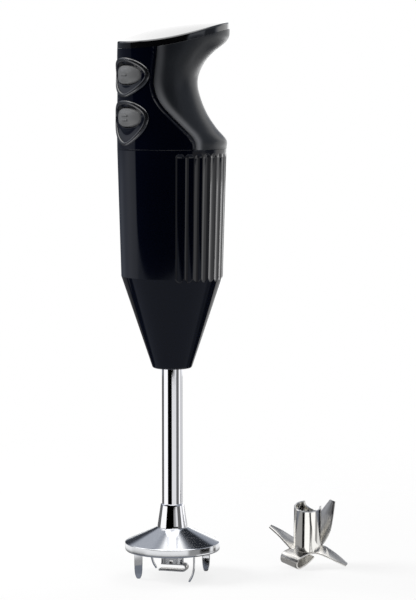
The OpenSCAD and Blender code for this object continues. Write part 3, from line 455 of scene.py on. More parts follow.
def strip(course, widths, thickness, crown=0.0, sections=24):
    """The grid of a bent strip of sheet metal: its course [x, z] is smoothed, and at each step a flat
    section with rounded edges is set across it, widths wide along Y. crown lifts the middle of the section
    like a crease."""
    course, widths = np.array(course, float), np.array(widths, float)
    along = np.insert(np.cumsum(np.linalg.norm(np.diff(course, axis=0), axis=1)), 0, 0)
    s = np.linspace(0, along[-1], sections + 1)
    x, z, w = (curve(np.stack([along, value], 1), s) for value in (course[:, 0], course[:, 1], widths))
    step = np.gradient(np.stack([x, z], 1), axis=0)
    step /= np.linalg.norm(step, axis=1)[:, None]
    a = np.radians([0, 30, 60, 90])
    edge, half = thickness / 2, w[:, None] / 2
    right = np.stack([half - edge + edge * np.sin(a), edge * np.cos(a) + 0 * half], -1)
    quarter = np.concatenate([np.stack([0 * half, edge + 0 * half], -1), right], 1)
    upper = np.concatenate([(quarter * [-1, 1])[:, ::-1], quarter[:, 1:]], 1)
    ring = np.concatenate([upper, (upper * [1, -1])[:, -2::-1]], 1)
    lift = ring[..., 1] + crown * w[:, None] * (1 - np.abs(ring[..., 0] / half))
    return capped(np.stack([x[:, None] - step[:, 1:] * lift, ring[..., 0],
                            z[:, None] + step[:, :1] * lift], -1))


def capped(grid):
    """A grid of rings with both its ends drawn in to their middles."""
    middles = grid[[0, -1], :-1].mean(1, keepdims=True) + 0 * grid[[0, -1]]
    return np.concatenate([middles[:1], grid, middles[1:]])


def curve(points, x):
    """A smooth curve through points [x, value]: between two of them it is the cubic whose end slopes are
    the slopes of the chords between their neighbours."""
    at, value = np.array(points, float).T
    slope = ((np.append(value[1:], value[-1]) - np.insert(value[:-1], 0, value[0]))
             / (np.append(at[1:], at[-1]) - np.insert(at[:-1], 0, at[0])))
    i = np.clip(np.searchsorted(at, x, side="right") - 1, 0, len(at) - 2)
    width = at[i + 1] - at[i]
    t = np.clip((x - at[i]) / width, 0, 1)
    return ((2 * t ** 3 - 3 * t ** 2 + 1) * value[i] + (t ** 3 - 2 * t ** 2 + t) * width * slope[i]
            + (3 * t ** 2 - 2 * t ** 3) * value[i + 1] + (t ** 3 - t ** 2) * width * slope[i + 1])


def placed(grid, turn=0.0, move=(0, 0, 0)):
    """A grid turned about the Z axis by an angle in degrees, then moved."""
    c, s = math.cos(math.radians(turn)), math.sin(math.radians(turn))
    return grid @ np.array([[c, s, 0], [-s, c, 0], [0, 0, 1]]) + np.array(move)


leg_w, leg_t, leg_bend, leg_swivel, leg_in = 5.0, 1.2, 3.0, 33, 4.6
leg_course = [[0, rim_low + 1.4], [0, rim_low * 0.6], [-leg_bend * 0.12, rim_low * 0.4],
              [-leg_bend * 0.45, rim_low * 0.2], [-leg_bend * 0.95, rim_low * 0.035], [-leg_bend * 0.97, 0.2]]
leg = strip(leg_course, leg_w * np.array([1, 1, 0.97, 0.85, 0.55, 0.4]), leg_t)
leg = placed(leg, 90 - leg_swivel, (rim_r - leg_in, 0, 0))
guard_legs = solid("guard_legs_bent", satin_steel, *[placed(leg, quarter) for quarter in (0, 90, 180, 270)])
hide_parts("guard_legs")
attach(guard_legs, "housing")


# ---- Collar ----
# A polished steel cone pressed on the end of the tube. It carries the bell, and its top edge is broken by a
# small chamfer that catches the light.

chrome = finish("chrome", turned_marks, (0.86, 0.865, 0.9), 1.0, (0.83, 0.835, 0.87),
                {"Lines": 1800.0, "Depth": 0.0000003, "Roughness": 0.03, "Spread": 0.02})

low, high = box("shaft_tube")
tube_r, tube_wall = high[0], 1.1
collar_top_r, collar_step, collar_chamfer, tube_stop = 7.1, 1.4, 0.3, neck + 2.6
outline = [[tube_r - tube_wall, collar_low[2]], [neck_r - collar_step, collar_low[2]],
           [neck_r - collar_step, neck], [neck_r, neck], [neck_r - 0.1, neck + 1.2],
           [collar_top_r + 0.08, collar_high[2] - 0.7], [collar_top_r - collar_chamfer, collar_high[2]],
           [tube_r, collar_high[2]], [tube_r, tube_stop], [tube_r - tube_wall, tube_stop]]
collar = solid("collar_cone", chrome, turned(rounded(outline, 0.22), 160), crease=30)
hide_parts("guard_collar")
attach(collar, "housing")


# ---- Shaft tube ----
# A straight seamless steel tube, plated and polished like a mirror. It is clamped in the cone's tip by a nut,
# and two sintered bushes in it hold the drive shaft.

outline = [[tube_r - tube_wall, low[2]], [tube_r, low[2]], [tube_r, high[2]], [tube_r - tube_wall, high[2]]]
tube = solid("polished_tube", chrome, turned(rounded(outline, 0.15), 160), crease=30)
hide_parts("shaft_tube")
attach(tube, "housing")


# ---- Lower housing ----
# The glossy black moulding that holds the motor: a plain cone on the tube, then a barrel whose back is
# fluted for grip. The flutes are round hollows that end in a half circle, just below the seam.

# Moulded skin: fine orange peel under a hard gloss, with the faint haze that hands leave
moulded_skin, given, result = new_group(
    "moulded_skin", Grain=700.0, Depth=0.000004, Roughness=0.1, Spread=0.05)
grain = noise(moulded_skin, given["Position"], given["Grain"], 3)
haze = noise(moulded_skin, given["Position"], 45.0, 4)
uneven = calc(moulded_skin, "ADD", haze, calc(moulded_skin, "SUBTRACT", grain, 1.0))
uneven = calc(moulded_skin, "MULTIPLY", uneven, given["Spread"])
give(moulded_skin, given, result, grain, 0.5, uneven, haze)

gloss_black = finish("gloss_black", moulded_skin, (0.0008, 0.0013, 0.0045), 0.0, (0.0012, 0.002, 0.006),
                     {"Grain": 260.0, "Depth": 0.0000008, "Roughness": 0.04, "Spread": 0.02}, IOR=1.5)

low, high = box("lower_housing")
z_cone, z_seam, barrel_r = low[2], high[2], high[0]
cone_r, barrel_r_low, cone_h, wall, floor_l = 11.9, 31.0, 56.5, 2.6, 12.0
z_barrel = z_cone + cone_h
flute_count, flute_pitch, flute_half, flute_depth, flute_end = 23, 10.35, 2.6, 0.62, 2.4
edge_round, tip_round = 0.18, 1.0


def quarter_round(distance, radius):
    """How far a surface drops at a distance from its edge, when that edge is rounded by radius."""
    return radius * (1 - np.sqrt(1 - np.clip(1 - distance / radius, 0, 1) ** 2))


def barrel_line(z):
    """Radius of the barrel's straight side at height z, also below its corner with the cone."""
    return barrel_r_low + (barrel_r - barrel_r_low) * (z - z_barrel) / (z_seam - z_barrel)


def cone_line(z):
    """Radius of the cone's straight side at height z."""
    return cone_r + (barrel_r_low - cone_r) * (z - z_cone) / cone_h


def housing_outer(a, z):
    """Radius of the lower housing at angle a, in degrees from the back, and height z: the smaller of cone
    and barrel, less the rounded edges at both ends. Each flute is a round hollow, flute_depth less its
    square over the distance from its middle line, and ends in a half circle below the seam."""
    nearest = np.clip(np.round(a / flute_pitch), -(flute_count - 1) / 2, (flute_count - 1) / 2)
    aside = np.radians(a - nearest * flute_pitch) * barrel_line(z)
    beyond = np.maximum(0, z - (z_seam - flute_end - flute_half))
    off = (aside ** 2 + beyond ** 2) / flute_half ** 2
    r = np.minimum(cone_line(z), barrel_line(z) - flute_depth * np.clip(1 - off, 0, 1))
    return r - quarter_round(z_seam - z, edge_round) - quarter_round(z - z_cone, tip_round)


ribbed_half = flute_count * flute_pitch / 2
a = np.concatenate([np.arange(-ribbed_half, ribbed_half, flute_pitch / 18),
                    np.arange(ribbed_half, 360 - ribbed_half, 1.6), [360 - ribbed_half]])
heights = np.concatenate([
    z_cone + tip_round * (1 - np.cos(np.radians(np.linspace(0, 90, 7)))),
    np.arange(z_cone + 3, z_barrel - 4, 3), np.arange(z_barrel - 4, z_barrel + 3, 0.4),
    np.arange(z_barrel + 3, z_seam - 6, 3.5),
    np.arange(z_seam - 6, z_seam - 1, 0.18), [z_seam - 0.8],
    z_seam - edge_round * (1 - np.sin(np.radians(np.linspace(0, 90, 8))))])
angle, z = np.meshgrid(a, heights, indexing="ij")
r = housing_outer(np.where(angle > 180, angle - 360, angle), z)
z_floor, fit_r = z_cone + floor_l, tube_r + 0.05
inner_z = np.array([z_seam, z_barrel, z_floor, z_floor, z_cone])
inner_r = np.array([barrel_r - wall, barrel_r_low - wall, cone_line(z_floor) - wall, fit_r, fit_r])
r = np.concatenate([r, np.repeat(inner_r[None], len(a), 0), r[:, :1]], 1)
z = np.concatenate([z, np.repeat(inner_z[None], len(a), 0), z[:, :1]], 1)
turn = np.radians(90 + angle[:, :1])
grid = np.stack([r * np.cos(turn), r * np.sin(turn), z], -1)
grid[-1] = grid[0]
lower_housing = solid("ribbed_housing", gloss_black, grid, crease=16.5)
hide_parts("lower_housing")
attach(lower_housing, "housing")


# ---- Upper housing ----
# The front half of the head, in the same gloss black. It wraps round both sides to the grip cover and is
# pierced for the two buttons, each in a shallow teardrop scoop that leads the thumb in.

head_front, neck_back, neck_half_w, lip_back, head_half_w = 34.4, 13.2, 25.5, 37.0, 28.5
head_h, cap_rise, cap_band = 59.8, 12.3, 4.3
cap_low = z_seam + head_h
z_top = cap_low + cap_band + cap_rise
neck_at, front_full, seam_start, seam_run = 0.52, 0.83, -42, 79
back_low = [[0, 1], [0.065, 0.99], [0.156, 0.65], [0.273, 0.31], [0.416, 0.075], [neck_at, 0], [0.624, 0.075]]
back_high = [[0.443, 0.055], [neck_at, 0], [0.597, 0.055], [0.688, 0.24], [0.766, 0.52], [0.831, 0.848],
             [0.883, 0.985], [0.948, 1], [1.1, 1]]
side_low = [[0, 1], [0.08, 0.96], [0.17, 0.71], [0.273, 0.45], [0.4, 0.14], [neck_at, 0], [0.64, 0.14]]
side_high = [[0.4, 0.17], [neck_at, 0], [0.64, 0.17], [0.766, 0.6], [0.87, 0.93], [0.948, 1], [1.1, 1]]
grip_edge = [[0, 4], [0.06, 4.4], [0.108, 6.7], [0.169, 11.1], [0.247, 16.5], [0.325, 21], [0.41, 24],
             [0.506, 25.3], [0.578, 25.2], [0.697, 24.4], [0.81, 23.7], [1, 23.2]]


def share(z):
    """Share of the head's height below z."""
    return (z - z_seam) / (z_top - z_seam)


def back_y(z):
    """Reach of the head behind the axis: from the shoulder in to the neck, then out to the lip."""
    return np.where(share(z) < neck_at, neck_back + (barrel_r - neck_back) * curve(back_low, share(z)),
                    neck_back + (lip_back - neck_back) * curve(back_high, share(z)))


def half_w(z):
    """Half the width of the head, narrowest at the neck."""
    return np.where(share(z) < neck_at, neck_half_w + (barrel_r - neck_half_w) * curve(side_low, share(z)),
                    neck_half_w + (head_half_w - neck_half_w) * curve(side_high, share(z)))


def front_y(z):
    """Reach of the head in front of the axis."""
    return barrel_r + (head_front - barrel_r) * np.clip(share(z) / front_full, 0, 1)


def mid_y(z):
    """Middle of the head's section."""
    return (back_y(z) - front_y(z)) / 2


def half_l(z):
    """Half the length of the head's section."""
    return (back_y(z) + front_y(z)) / 2


def head_point(z, t, inset=0.0):
    """Point of the head at height z and angle t (-90 is the front): on an ellipse set in by inset."""
    t = np.radians(t)
    return np.stack([(half_w(z) - inset) * np.cos(t), mid_y(z) + (half_l(z) - inset) * np.sin(t),
                     z + 0 * t], -1)


def cap_seam(y):
    """Height of the seam under the cap at depth y: an S from the low front to the high back."""
    t = np.clip((y - seam_start) / seam_run, 0, 1)
    return cap_low + cap_rise * t * t * (3 - 2 * t)


def seam_at(t):
    """Height of the cap's seam at angle t."""
    z = cap_seam(head_point(cap_low + cap_rise / 2 + 0 * t, t)[..., 1])
    return cap_seam(head_point(z, t)[..., 1])


def grip_angle(z):
    """Angle of the grip cover's front edge at height z, where its reach in front of the axis is given."""
    return np.degrees(np.arcsin((-curve(grip_edge, share(z)) - mid_y(z)) / half_l(z)))


def ease(t):
    """A smooth step from 0 to 1: t squared times three less twice t."""
    t = np.clip(t, 0, 1)
    return t * t * (3 - 2 * t)


corner_y, shell_gap = -24.0, 0.15
corner_z = cap_seam(np.array(corner_y))
half_seam = np.degrees(shell_gap / head_half_w)
button_low_up, button_apart = 19.0, 25.5
button_z = z_seam + button_low_up + np.array([button_apart, 0])
button_half, button_powers = (13.2, 5.75), (0.9, 0.8)
button_gap, rim_half_w, rim_top, rim_tail, rim_pinch = 0.4, 17.0, 9.2, (12.2, 15.8), 0.3
z_split, hole_round = button_z[0] - rim_tail[0] - 0.9, 0.35
scoop, scoop_slope, lip_line, lip_gap, lip_w = 1.5, 0.42, 0.45, 1.7, 0.42


def side_edge(z):
    """Angle from the front to the side edge of the upper housing at height z."""
    return grip_angle(z) + 90 - half_seam


def metre_of(z, t):
    """Millimetres along the head's section in one degree at height z and angle t."""
    t = np.radians(t)
    return np.radians(1) * np.hypot(half_w(z) * np.sin(t), half_l(z) * np.cos(t))


def shell_depth(turn, z):
    """How far the front shell lies below the plain head at an angle from the front and a height: a scoop
    inside each teardrop, a fine raised line beside the grip cover, and rounded edges."""
    upper = z > z_split
    middle = np.where(upper, button_z[0], button_z[1])
    tail = np.where(upper, rim_tail[0], rim_tail[1])
    x = half_w(z) * np.sin(np.radians(turn))
    rise = (z - middle) / np.where(z > middle, rim_top, tail)
    pinch = 1 - rim_pinch * np.clip(-rise, 0, 1) ** 2
    inside = np.sqrt((x / rim_half_w / pinch) ** 2 + rise ** 2)
    edge = side_edge(z)
    to_side = (edge - np.abs(turn)) * metre_of(z, edge - 90)
    line = lip_line * np.exp(-((to_side - lip_gap) / lip_w) ** 2)
    rounding = quarter_round(np.minimum(to_side, z - z_seam), edge_round)
    return scoop * ease((1 - inside) / scoop_slope) - line + rounding


def button_oval(i, a, grow, size=1.0):
    """Place across and height of a button's oval at angle a, grown by grow and then scaled by size: an
    ellipse whose cosine and sine are raised to powers, which makes it fuller."""
    x, z = (np.sign(part) * np.abs(part) ** power
            for part, power in zip((np.cos(a), np.sin(a)), button_powers))
    return (button_half[0] + grow) * x * size, button_z[i] + (button_half[1] + grow) * z * size


def turn_of(x, z):
    """Turn from the front, in degrees, at a place across the head and a height."""
    return np.degrees(np.arcsin(x / half_w(z)))


def teardrop(i, a, size=1.0):
    """Turn from the front and height of the teardrop round a button: full above, and drawn in to a point
    below."""
    up = np.sin(a)
    x = rim_half_w * size * np.cos(a) * (1 - rim_pinch * np.clip(-up, 0, 1) ** 2)
    z = button_z[i] + size * np.where(up > 0, rim_top, rim_tail[i]) * up
    return turn_of(x, z), z


cell_across, cell_up = 120, 70


def front_cell(i):
    """The closed outline of the part of the front shell round one button, as turn from the front and
    height."""
    split = (z_split - z_seam) / (corner_z - z_seam)
    low, high = (split, 1.0) if i == 0 else (0.0, split)
    corner_turn = side_edge(corner_z)
    corner = seam_at(corner_turn - 90)
    u, v = np.linspace(-1, 1, cell_across + 1), np.linspace(low, high, cell_up + 1)
    side_turn, side_z = side_edge(z_seam + v * (corner_z - z_seam)), z_seam + v * (corner - z_seam)
    bottom = np.stack([u * side_turn[0], side_z[0] + 0 * u], 1)
    top_turn = u[::-1] * side_turn[-1]
    top = np.stack([top_turn, seam_at(top_turn - 90) if i == 0 else side_z[-1] + 0 * u], 1)
    right, left = np.stack([side_turn, side_z], 1), np.stack([-side_turn, side_z], 1)[::-1]
    return np.concatenate([bottom[:-1], right[:-1], top[:-1], left])


def spaced(count, crowd):
    """Shares from 0 to 1 that crowd towards 1."""
    s = np.linspace(0, 1, count + 1)[1:]
    return 1 - (1 - s) ** crowd


def joined(outer, inner, steps=3):
    """The grid of a wall between an outer and an inner line of points."""
    s = np.linspace(0, 1, steps + 1)[:, None, None]
    return outer * (1 - s) + inner * s


cells, walls = [], []
for i in (0, 1):
    turn_b, z_b = front_cell(i).T
    x_b = half_w(z_b) * np.sin(np.radians(turn_b))
    a = np.arctan2((z_b - button_z[i]) / np.where(z_b > button_z[i], rim_top, rim_tail[i]), x_b / rim_half_w)
    ovals = [button_oval(i, a, button_gap + grow) for grow in (0, 0.1, hole_round)]
    oval = [np.stack([turn_of(x, z), z], -1) for x, z in ovals]
    drop = np.stack(teardrop(i, a), -1)
    edge = np.stack([turn_b, z_b], -1)
    soft = shell_depth(*oval[2].T)
    rows = [(edge + (oval[0] - edge) * s, wall) for s in np.linspace(0, 1, 9)]
    rows += [(oval[0], (wall + soft + hole_round) / 2), (oval[0], soft + hole_round), (oval[1], soft + 0.1),
             (oval[2], soft)]
    flat = [oval[2] + (drop - oval[2]) * s for s in np.linspace(0, 1, 15)[1:]]
    flat += [drop + (edge - drop) * s for s in spaced(34, 2.4)]
    rows += [(p, shell_depth(*p.T)) for p in flat]
    cell = np.stack([head_point(p[:, 1], p[:, 0] - 90, depth) for p, depth in rows], 1)
    cells.append(cell)
    count = len(cell)
    corner_at = 2 * cell_across + cell_up
    open_run = np.arange(cell_across, count)
    if i == 1:
        open_run = np.append(np.arange(corner_at, count - 1), np.arange(cell_across + cell_up + 1))
    walls.append(joined(cell[open_run, -1], cell[open_run, 0]))
upper_housing = solid("front_shell", gloss_black, *cells, *walls, crease=45)
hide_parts("upper_housing")
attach(upper_housing, "housing")


# ---- Grip cover ----
# The satin grey moulding that forms the back of the head, from the shoulder over the hollow of the neck to
# the lip. Its front edges are rolled over softly where it meets the gloss shell, and the cable's hole is at
# the top.

grip_grey = finish("grip_grey", moulded_skin, (0.010, 0.012, 0.016), 0.0, (0.013, 0.015, 0.019),
                   {"Grain": 1500.0, "Depth": 0.000012, "Roughness": 0.3, "Spread": 0.08})

proud, proud_h, roll_w, roll_drop, end_round = 0.2, 10, 2.6, 1.0, 0.15
inlet_z, inlet_hole_r, cover_split = cap_low + cap_rise - 5.2, 4.25, 0.72
# These values set a painted highlight along the cover's front edge: its distance from the edge, width, least
# share higher up, colour and fade with height
painted_highlight_at, painted_highlight_w, painted_highlight_least, painted_highlight_colour = 2.2, 1.9, 0.35, (0.19, 0.196, 0.21)
painted_highlight_fade_up, painted_highlight_fade_h = 14, 22


def cover_place(across, up):
    """Turn from the front and height on the cover: across runs from -1 to 1 between its side edges, up from
    the barrel's seam (0) to the cap's seam (1)."""
    edge = grip_angle(z_seam + up * (corner_z - z_seam)) + half_seam
    t = 90 + across * (90 - edge)
    return t, z_seam + up * (seam_at(t) - z_seam), edge


def cover_point(across, up, inset=0.0, finished=True):
    """Point of the cover, set in by inset: it stands a little proud, and a finished face drops along a
    quarter of an ellipse at its side edges and is rounded at its ends."""
    t, z, edge = cover_place(across, up)
    to_side = (1 - np.abs(across)) * (90 - edge) * metre_of(z, edge)
    to_end = np.minimum(z - z_seam, seam_at(t) - z)
    drop = quarter_round(to_side, roll_w) * roll_drop / roll_w + quarter_round(to_end, end_round)
    rise = proud * np.clip((z - z_seam) / proud_h, 0, 1)
    return head_point(z, t, inset + (drop - rise if finished else 0))


def square(count_across, count_up, low):
    """Outline of the upper part of the cover in across and up, round its four sides from the lower left,
    with the places across crowded towards the edges by a sine."""
    u, v = np.sin(np.linspace(-np.pi / 2, np.pi / 2, count_across + 1)), np.linspace(low, 1, count_up + 1)
    sides = [(u, low + 0 * u), (1 + 0 * v, v), (u[::-1], 1 + 0 * u), (-1 + 0 * v, v[::-1])]
    return np.concatenate([np.stack(side, 1)[:-1] for side in sides] + [[[-1, low]]])


n_across, n_up, n_rays, hole_up_share, cover_h, cover_half = 120, 36, 41, 0.91, 70, 35
outline = square(n_across, n_up, cover_split)
hole_a = np.arctan2((outline[:, 1] - hole_up_share) * cover_h, outline[:, 0] * cover_half)
hole_x, hole_z = inlet_hole_r * np.cos(hole_a), inlet_z + inlet_hole_r * np.sin(hole_a)
hole_t = 90 - turn_of(hole_x, hole_z)
hole_up = (hole_z - z_seam) / (seam_at(hole_t) - z_seam)
hole_edge = grip_angle(z_seam + hole_up * (corner_z - z_seam)) + half_seam
hole = np.stack([(hole_t - 90) / (90 - hole_edge), hole_up], 1)
outline[:, 0] *= -1
rays = np.stack([hole + (outline - hole) * s for s in np.append(0, spaced(n_rays - 1, 1.6))])
outer, inner = (cover_point(rays[..., 0], rays[..., 1], *how) for how in ((0.0, True), (wall, False)))
across_grid, up_grid = np.meshgrid(
    -np.sin(np.linspace(-np.pi / 2, np.pi / 2, n_across + 1)),
    np.concatenate([[0, 0.002, 0.004, 0.008], np.linspace(0.012, cover_split, 90)]), indexing="ij")
low_outer, low_inner = cover_point(across_grid, up_grid), cover_point(across_grid, up_grid, wall, False)
low_edges = [joined(low_outer[edge], low_inner[edge]) for edge in (0, -1, (slice(None), 0))]
grip_cover = solid("grip_back", grip_grey, outer, inner, joined(outer[0], inner[0]),
                   joined(outer[-1][n_across:], inner[-1][n_across:]), low_outer, low_inner, *low_edges,
                   crease=60)

# Painted highlight along the cover's rolled front edge, kept as a point attribute: most along a line beside
# the edge, full low down and weaker higher up
points = np.empty(3 * len(grip_cover.data.vertices))
grip_cover.data.vertices.foreach_get("co", points)
_, depth, z = points.reshape(-1, 3).T * 1000
slant = curve(grip_edge, share(z + 0.5)) - curve(grip_edge, share(z - 0.5))
from_edge = (depth + curve(grip_edge, share(z))) / np.hypot(1, slant)
painted_highlight = np.exp(-((from_edge - painted_highlight_at) / painted_highlight_w) ** 2)
painted_highlight *= painted_highlight_least + (1 - painted_highlight_least) * ease((z_split + painted_highlight_fade_up - z) / painted_highlight_fade_h)
grip_cover.data.attributes.new("painted_highlight", "FLOAT", "POINT").data.foreach_set("value", painted_highlight)
# The painted highlight is mixed into the cover's base colour by its attribute
tree = grip_grey.node_tree
base = tree.nodes["Principled BSDF"].inputs["Base Color"]
painted_highlight_share = add(tree, "Attribute", {}, attribute_name="painted_highlight").outputs["Fac"]
feed(tree, base, blend(tree, base.links[0].from_socket, (*painted_highlight_colour, 1), painted_highlight_share))
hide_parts("rear_grip_cover")
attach(grip_cover, "housing")


# ---- Cap ----
# A gloss lid with a narrow side band, pressed into the two shells. Its top runs in a shallow S from the
# front up to the lip and is a little crowned across.

cap_t, cap_crown, cap_edge, cap_plug, plug_gap, cap_gap = 2.2, 0.6, 1.2, 0.9, 0.2, 0.05


def cap_ring(inset, rise, size=1.0):
    """A ring of the cap: set in by inset, lifted by rise above the seam's line, and scaled by size across
    the top, where the crown lifts it by one less the square of size."""
    t = np.arange(0, 361, 2.5)
    z = seam_at(t) + rise
    p = head_point(np.minimum(z, z_top), t, inset)
    middle = mid_y(z_top)
    x, y = p[:, 0] * size, middle + (p[:, 1] - middle) * size
    ring = np.stack([x, y, cap_seam(y) + rise + cap_crown * (1 - size ** 2)], -1)
    ring[-1] = ring[0]
    return ring


sizes = np.linspace(0, 1, 30)
turn = np.radians(np.linspace(0, 90, 7))
rings = [cap_ring(wall + 1, cap_band - cap_t, size) for size in sizes]
rings += [cap_ring(inset, rise) for inset, rise in (
    (wall + 1, -cap_plug), (wall + plug_gap, -cap_plug), (wall + plug_gap, cap_gap), (0, cap_gap),
    (0, 1.2), (0, 2.0))]
rings += [cap_ring(cap_edge * (1 - math.cos(q)), cap_band - cap_edge * (1 - math.sin(q))) for q in turn]
rings += [cap_ring(cap_edge, cap_band, size) for size in sizes[::-1]]
cap_gloss = finish("cap_gloss", moulded_skin, (0.003, 0.003, 0.0035), 0.0, (0.004, 0.004, 0.0045),
                   {"Grain": 260.0, "Depth": 0.000001, "Roughness": 0.1, "Spread": 0.04}, Coat_Weight=1.0,
                   Coat_Roughness=0.04, IOR=1.6)
cap = solid("gloss_cap", cap_gloss, np.stack(rings), crease=50)
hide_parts("top_cap")
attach(cap, "housing")


# ---- Button rims ----
# Satin teardrop beads pressed into the front shell round the two buttons. They are broader at the sides
# than above and below.

rim_satin = finish("rim_satin", moulded_skin, (0.006, 0.0065, 0.008), 0.0, (0.009, 0.0095, 0.011),
                   {"Grain": 1200.0, "Depth": 0.000004, "Roughness": 0.2, "Spread": 0.08}, IOR=2.2)

bead_w, bead_more, bead_h, bead_sunk = 1.2, 0.4, 0.85, 0.5


def rim_bead(i):
    """A bead along the teardrop of a button: half an ellipse above the shell and half a flatter one sunk
    into it, in the plane square to the teardrop."""
    a = np.linspace(0, 2 * np.pi, 161)
    turn, z = teardrop(i, a)
    path = head_point(z, turn - 90)
    along = np.gradient(path, axis=0)
    along[0] = along[-1] = path[1] - path[-2]
    out = np.stack([path[:, 0] / half_w(z) ** 2, (path[:, 1] - mid_y(z)) / half_l(z) ** 2, 0 * z], -1)
    out /= np.linalg.norm(out, axis=1)[:, None]
    side = np.cross(along, out)
    side /= np.linalg.norm(side, axis=1)[:, None]
    q = np.linspace(0, 2 * np.pi, 25)
    q[-1] = 0
    half = (bead_w + bead_more * np.abs(np.cos(a)) ** 1.5)[:, None, None]
    rise = np.where(np.sin(q) > 0, bead_h, bead_sunk) * np.sin(q)
    grid = path[:, None] + side[:, None] * np.cos(q)[:, None] * half + out[:, None] * rise[:, None]
    grid[-1] = grid[0]
    return grid


button_rims = solid("button_rims", rim_satin, rim_bead(0), rim_bead(1), crease=70)
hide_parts("button_surround")
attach(button_rims, "housing")


# ---- Buttons ----
# Two oval keys of satin grey plastic, one for each speed, marked with one raised bar and with two. A flange
# behind the opening keeps each in, and its stem bears on a switch's plunger.

key_satin = finish("key_satin", moulded_skin, (0.115, 0.117, 0.12), 0.0, (0.145, 0.147, 0.15),
                   {"Grain": 1300.0, "Depth": 0.000006, "Roughness": 0.33, "Spread": 0.1})

button_tip, key_round, key_pillow, stem_r, stem_end = 0.3, 1.5, 0.9, 3.0, -21.5
flange_rim, flange_t, flange_half, flange_gap = 1.2, 1.5, 14.4, 1.1
bar_half, bar_power, bar_seat, bar_apart = (3.5, 0.6), 0.35, 0.027, 1.3
bar_profile = [(0.0, -0.5), (1.0, -0.5), (1.0, 0.2), (0.95, 0.42), (0.8, 0.54), (0.5, 0.6), (0.0, 0.6)]


def key_front(i, x):
    """Front of a button at a distance x from its middle: it follows the round of the head."""
    z = button_z[i]
    bend = half_w(z) ** 2 / half_l(z)
    return mid_y(z) - half_l(z) - button_tip + bend - np.sqrt(bend ** 2 - x ** 2)


def key_grid(i):
    """Rings of a button from the middle of its front over the rounded edge and the flange to the end of its
    stem. The front is raised by key_pillow times the size of its ring to the power 2.5."""
    a = np.linspace(0, 2 * np.pi, 129)

    def face(grow, size=1.0, drop=0.0):
        x, z = button_oval(i, a, grow, size)
        return np.stack([x, key_front(i, x) + drop + key_pillow * size ** 2.5, z], -1)

    def flat(grow, y):
        x, z = button_oval(i, a, grow)
        return np.stack([x, y + 0 * x, z], -1)

    def stem(r, y):
        return np.stack([r * np.cos(a), y + 0 * a, button_z[i] + r * np.sin(a)], -1)

    z = button_z[i]
    flange_y = mid_y(z) - half_l(z) * np.sqrt(1 - (flange_half / half_w(z)) ** 2) + wall + flange_gap
    back_y = flange_y + flange_t
    return np.stack([face(-key_round, size) for size in np.linspace(0, 1, 14)]
                    + [face(-key_round * (1 - math.sin(k)), 1.0, key_round * (1 - math.cos(k)))
                       for k in np.radians(np.linspace(0, 90, 8))[1:]]
                    + [flat(0, flange_y), flat(flange_rim, flange_y), flat(flange_rim, back_y)]
                    + [stem(stem_r, back_y), stem(stem_r, stem_end), stem(0, stem_end)])


def bar_grid(i, up):
    """A raised bar on a button: rings of a slim oval from below the face over its rounded edge to its
    middle."""
    a = np.linspace(0, 2 * np.pi, 41)
    rows = []
    for size, rise in bar_profile:
        reach = (bar_half[0] - bar_half[1] * (1 - size)) * (size > 0)
        x = np.sign(np.cos(a)) * np.abs(np.cos(a)) ** bar_power * reach
        rows.append(np.stack([x, key_front(i, x) - rise + bar_seat,
                              button_z[i] + up + np.sin(a) * bar_half[1] * size], -1))
    return np.stack(rows)


for i, (name, ups) in enumerate((("upper_button", [0]), ("lower_button", [-bar_apart, bar_apart]))):
    bars = [bar_grid(i, up) for up in ups]
    key = solid(name.replace("button", "key"), key_satin, key_grid(i), *bars, crease=40)
    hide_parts(name)
    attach(key, name)


# ---- Cable inlet bush ----
# A rubber bush in the hole of the grip cover, through which the supply cable would enter. A collar on the
# inner side of the wall keeps it in.

rubber_black = finish("rubber_black", moulded_skin, (0.014, 0.014, 0.015), 0.0, (0.02, 0.02, 0.021),
                      {"Grain": 2200.0, "Depth": 0.00001, "Roughness": 0.6, "Spread": 0.15})

low, high = box("cable_gland")
bush_r, bush_bore, bush_collar, collar_end = 4.2, 3.0, 5.0, low[1] + 1.5
outline = rounded([[bush_bore, low[1]], [bush_collar, low[1]], [bush_collar, collar_end],
                   [bush_r, collar_end], [bush_r, high[1]], [bush_bore, high[1]]], 0.35)
grid = turned(outline, 72)[..., [0, 2, 1]] + [0, 0, (low[2] + high[2]) / 2]
bush = solid("inlet_bush", rubber_black, grid, crease=40)
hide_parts("cable_gland")
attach(bush, "housing")


# ---- Fitted attachment ----
# A turned steel hub with slots in its skirt and a notch for the drive pin, and under it one strip of sheet,
# folded round like a hook. It pulls straight off the drive shaft.

# Brush marks: noise drawn out along the height and across the front
brushed_marks, given, result = new_group(
    "brushed_marks", Lines=3000.0, Depth=0.000003, Roughness=0.22, Spread=0.12)
drawn = {0: given["Position"], 1: (0.03, 1.0, 0.03)}
drawn = add(brushed_marks, "VectorMath", drawn, operation="MULTIPLY").outputs[0]
marks = noise(brushed_marks, drawn, given["Lines"], 3)
tool_marks(brushed_marks, given, result, marks, 120.0, 0.06)

hub_steel = finish("hub_steel", turned_marks, (0.62, 0.63, 0.65), 1.0, (0.5, 0.51, 0.53),
                   {"Lines": 2200.0, "Depth": 0.000003, "Roughness": 0.2, "Spread": 0.14})
blade_steel = finish("blade_steel", brushed_marks, (0.64, 0.625, 0.6), 1.0, (0.54, 0.53, 0.51),
                     {"Lines": 2600.0, "Depth": 0.000003, "Roughness": 0.27, "Spread": 0.14})

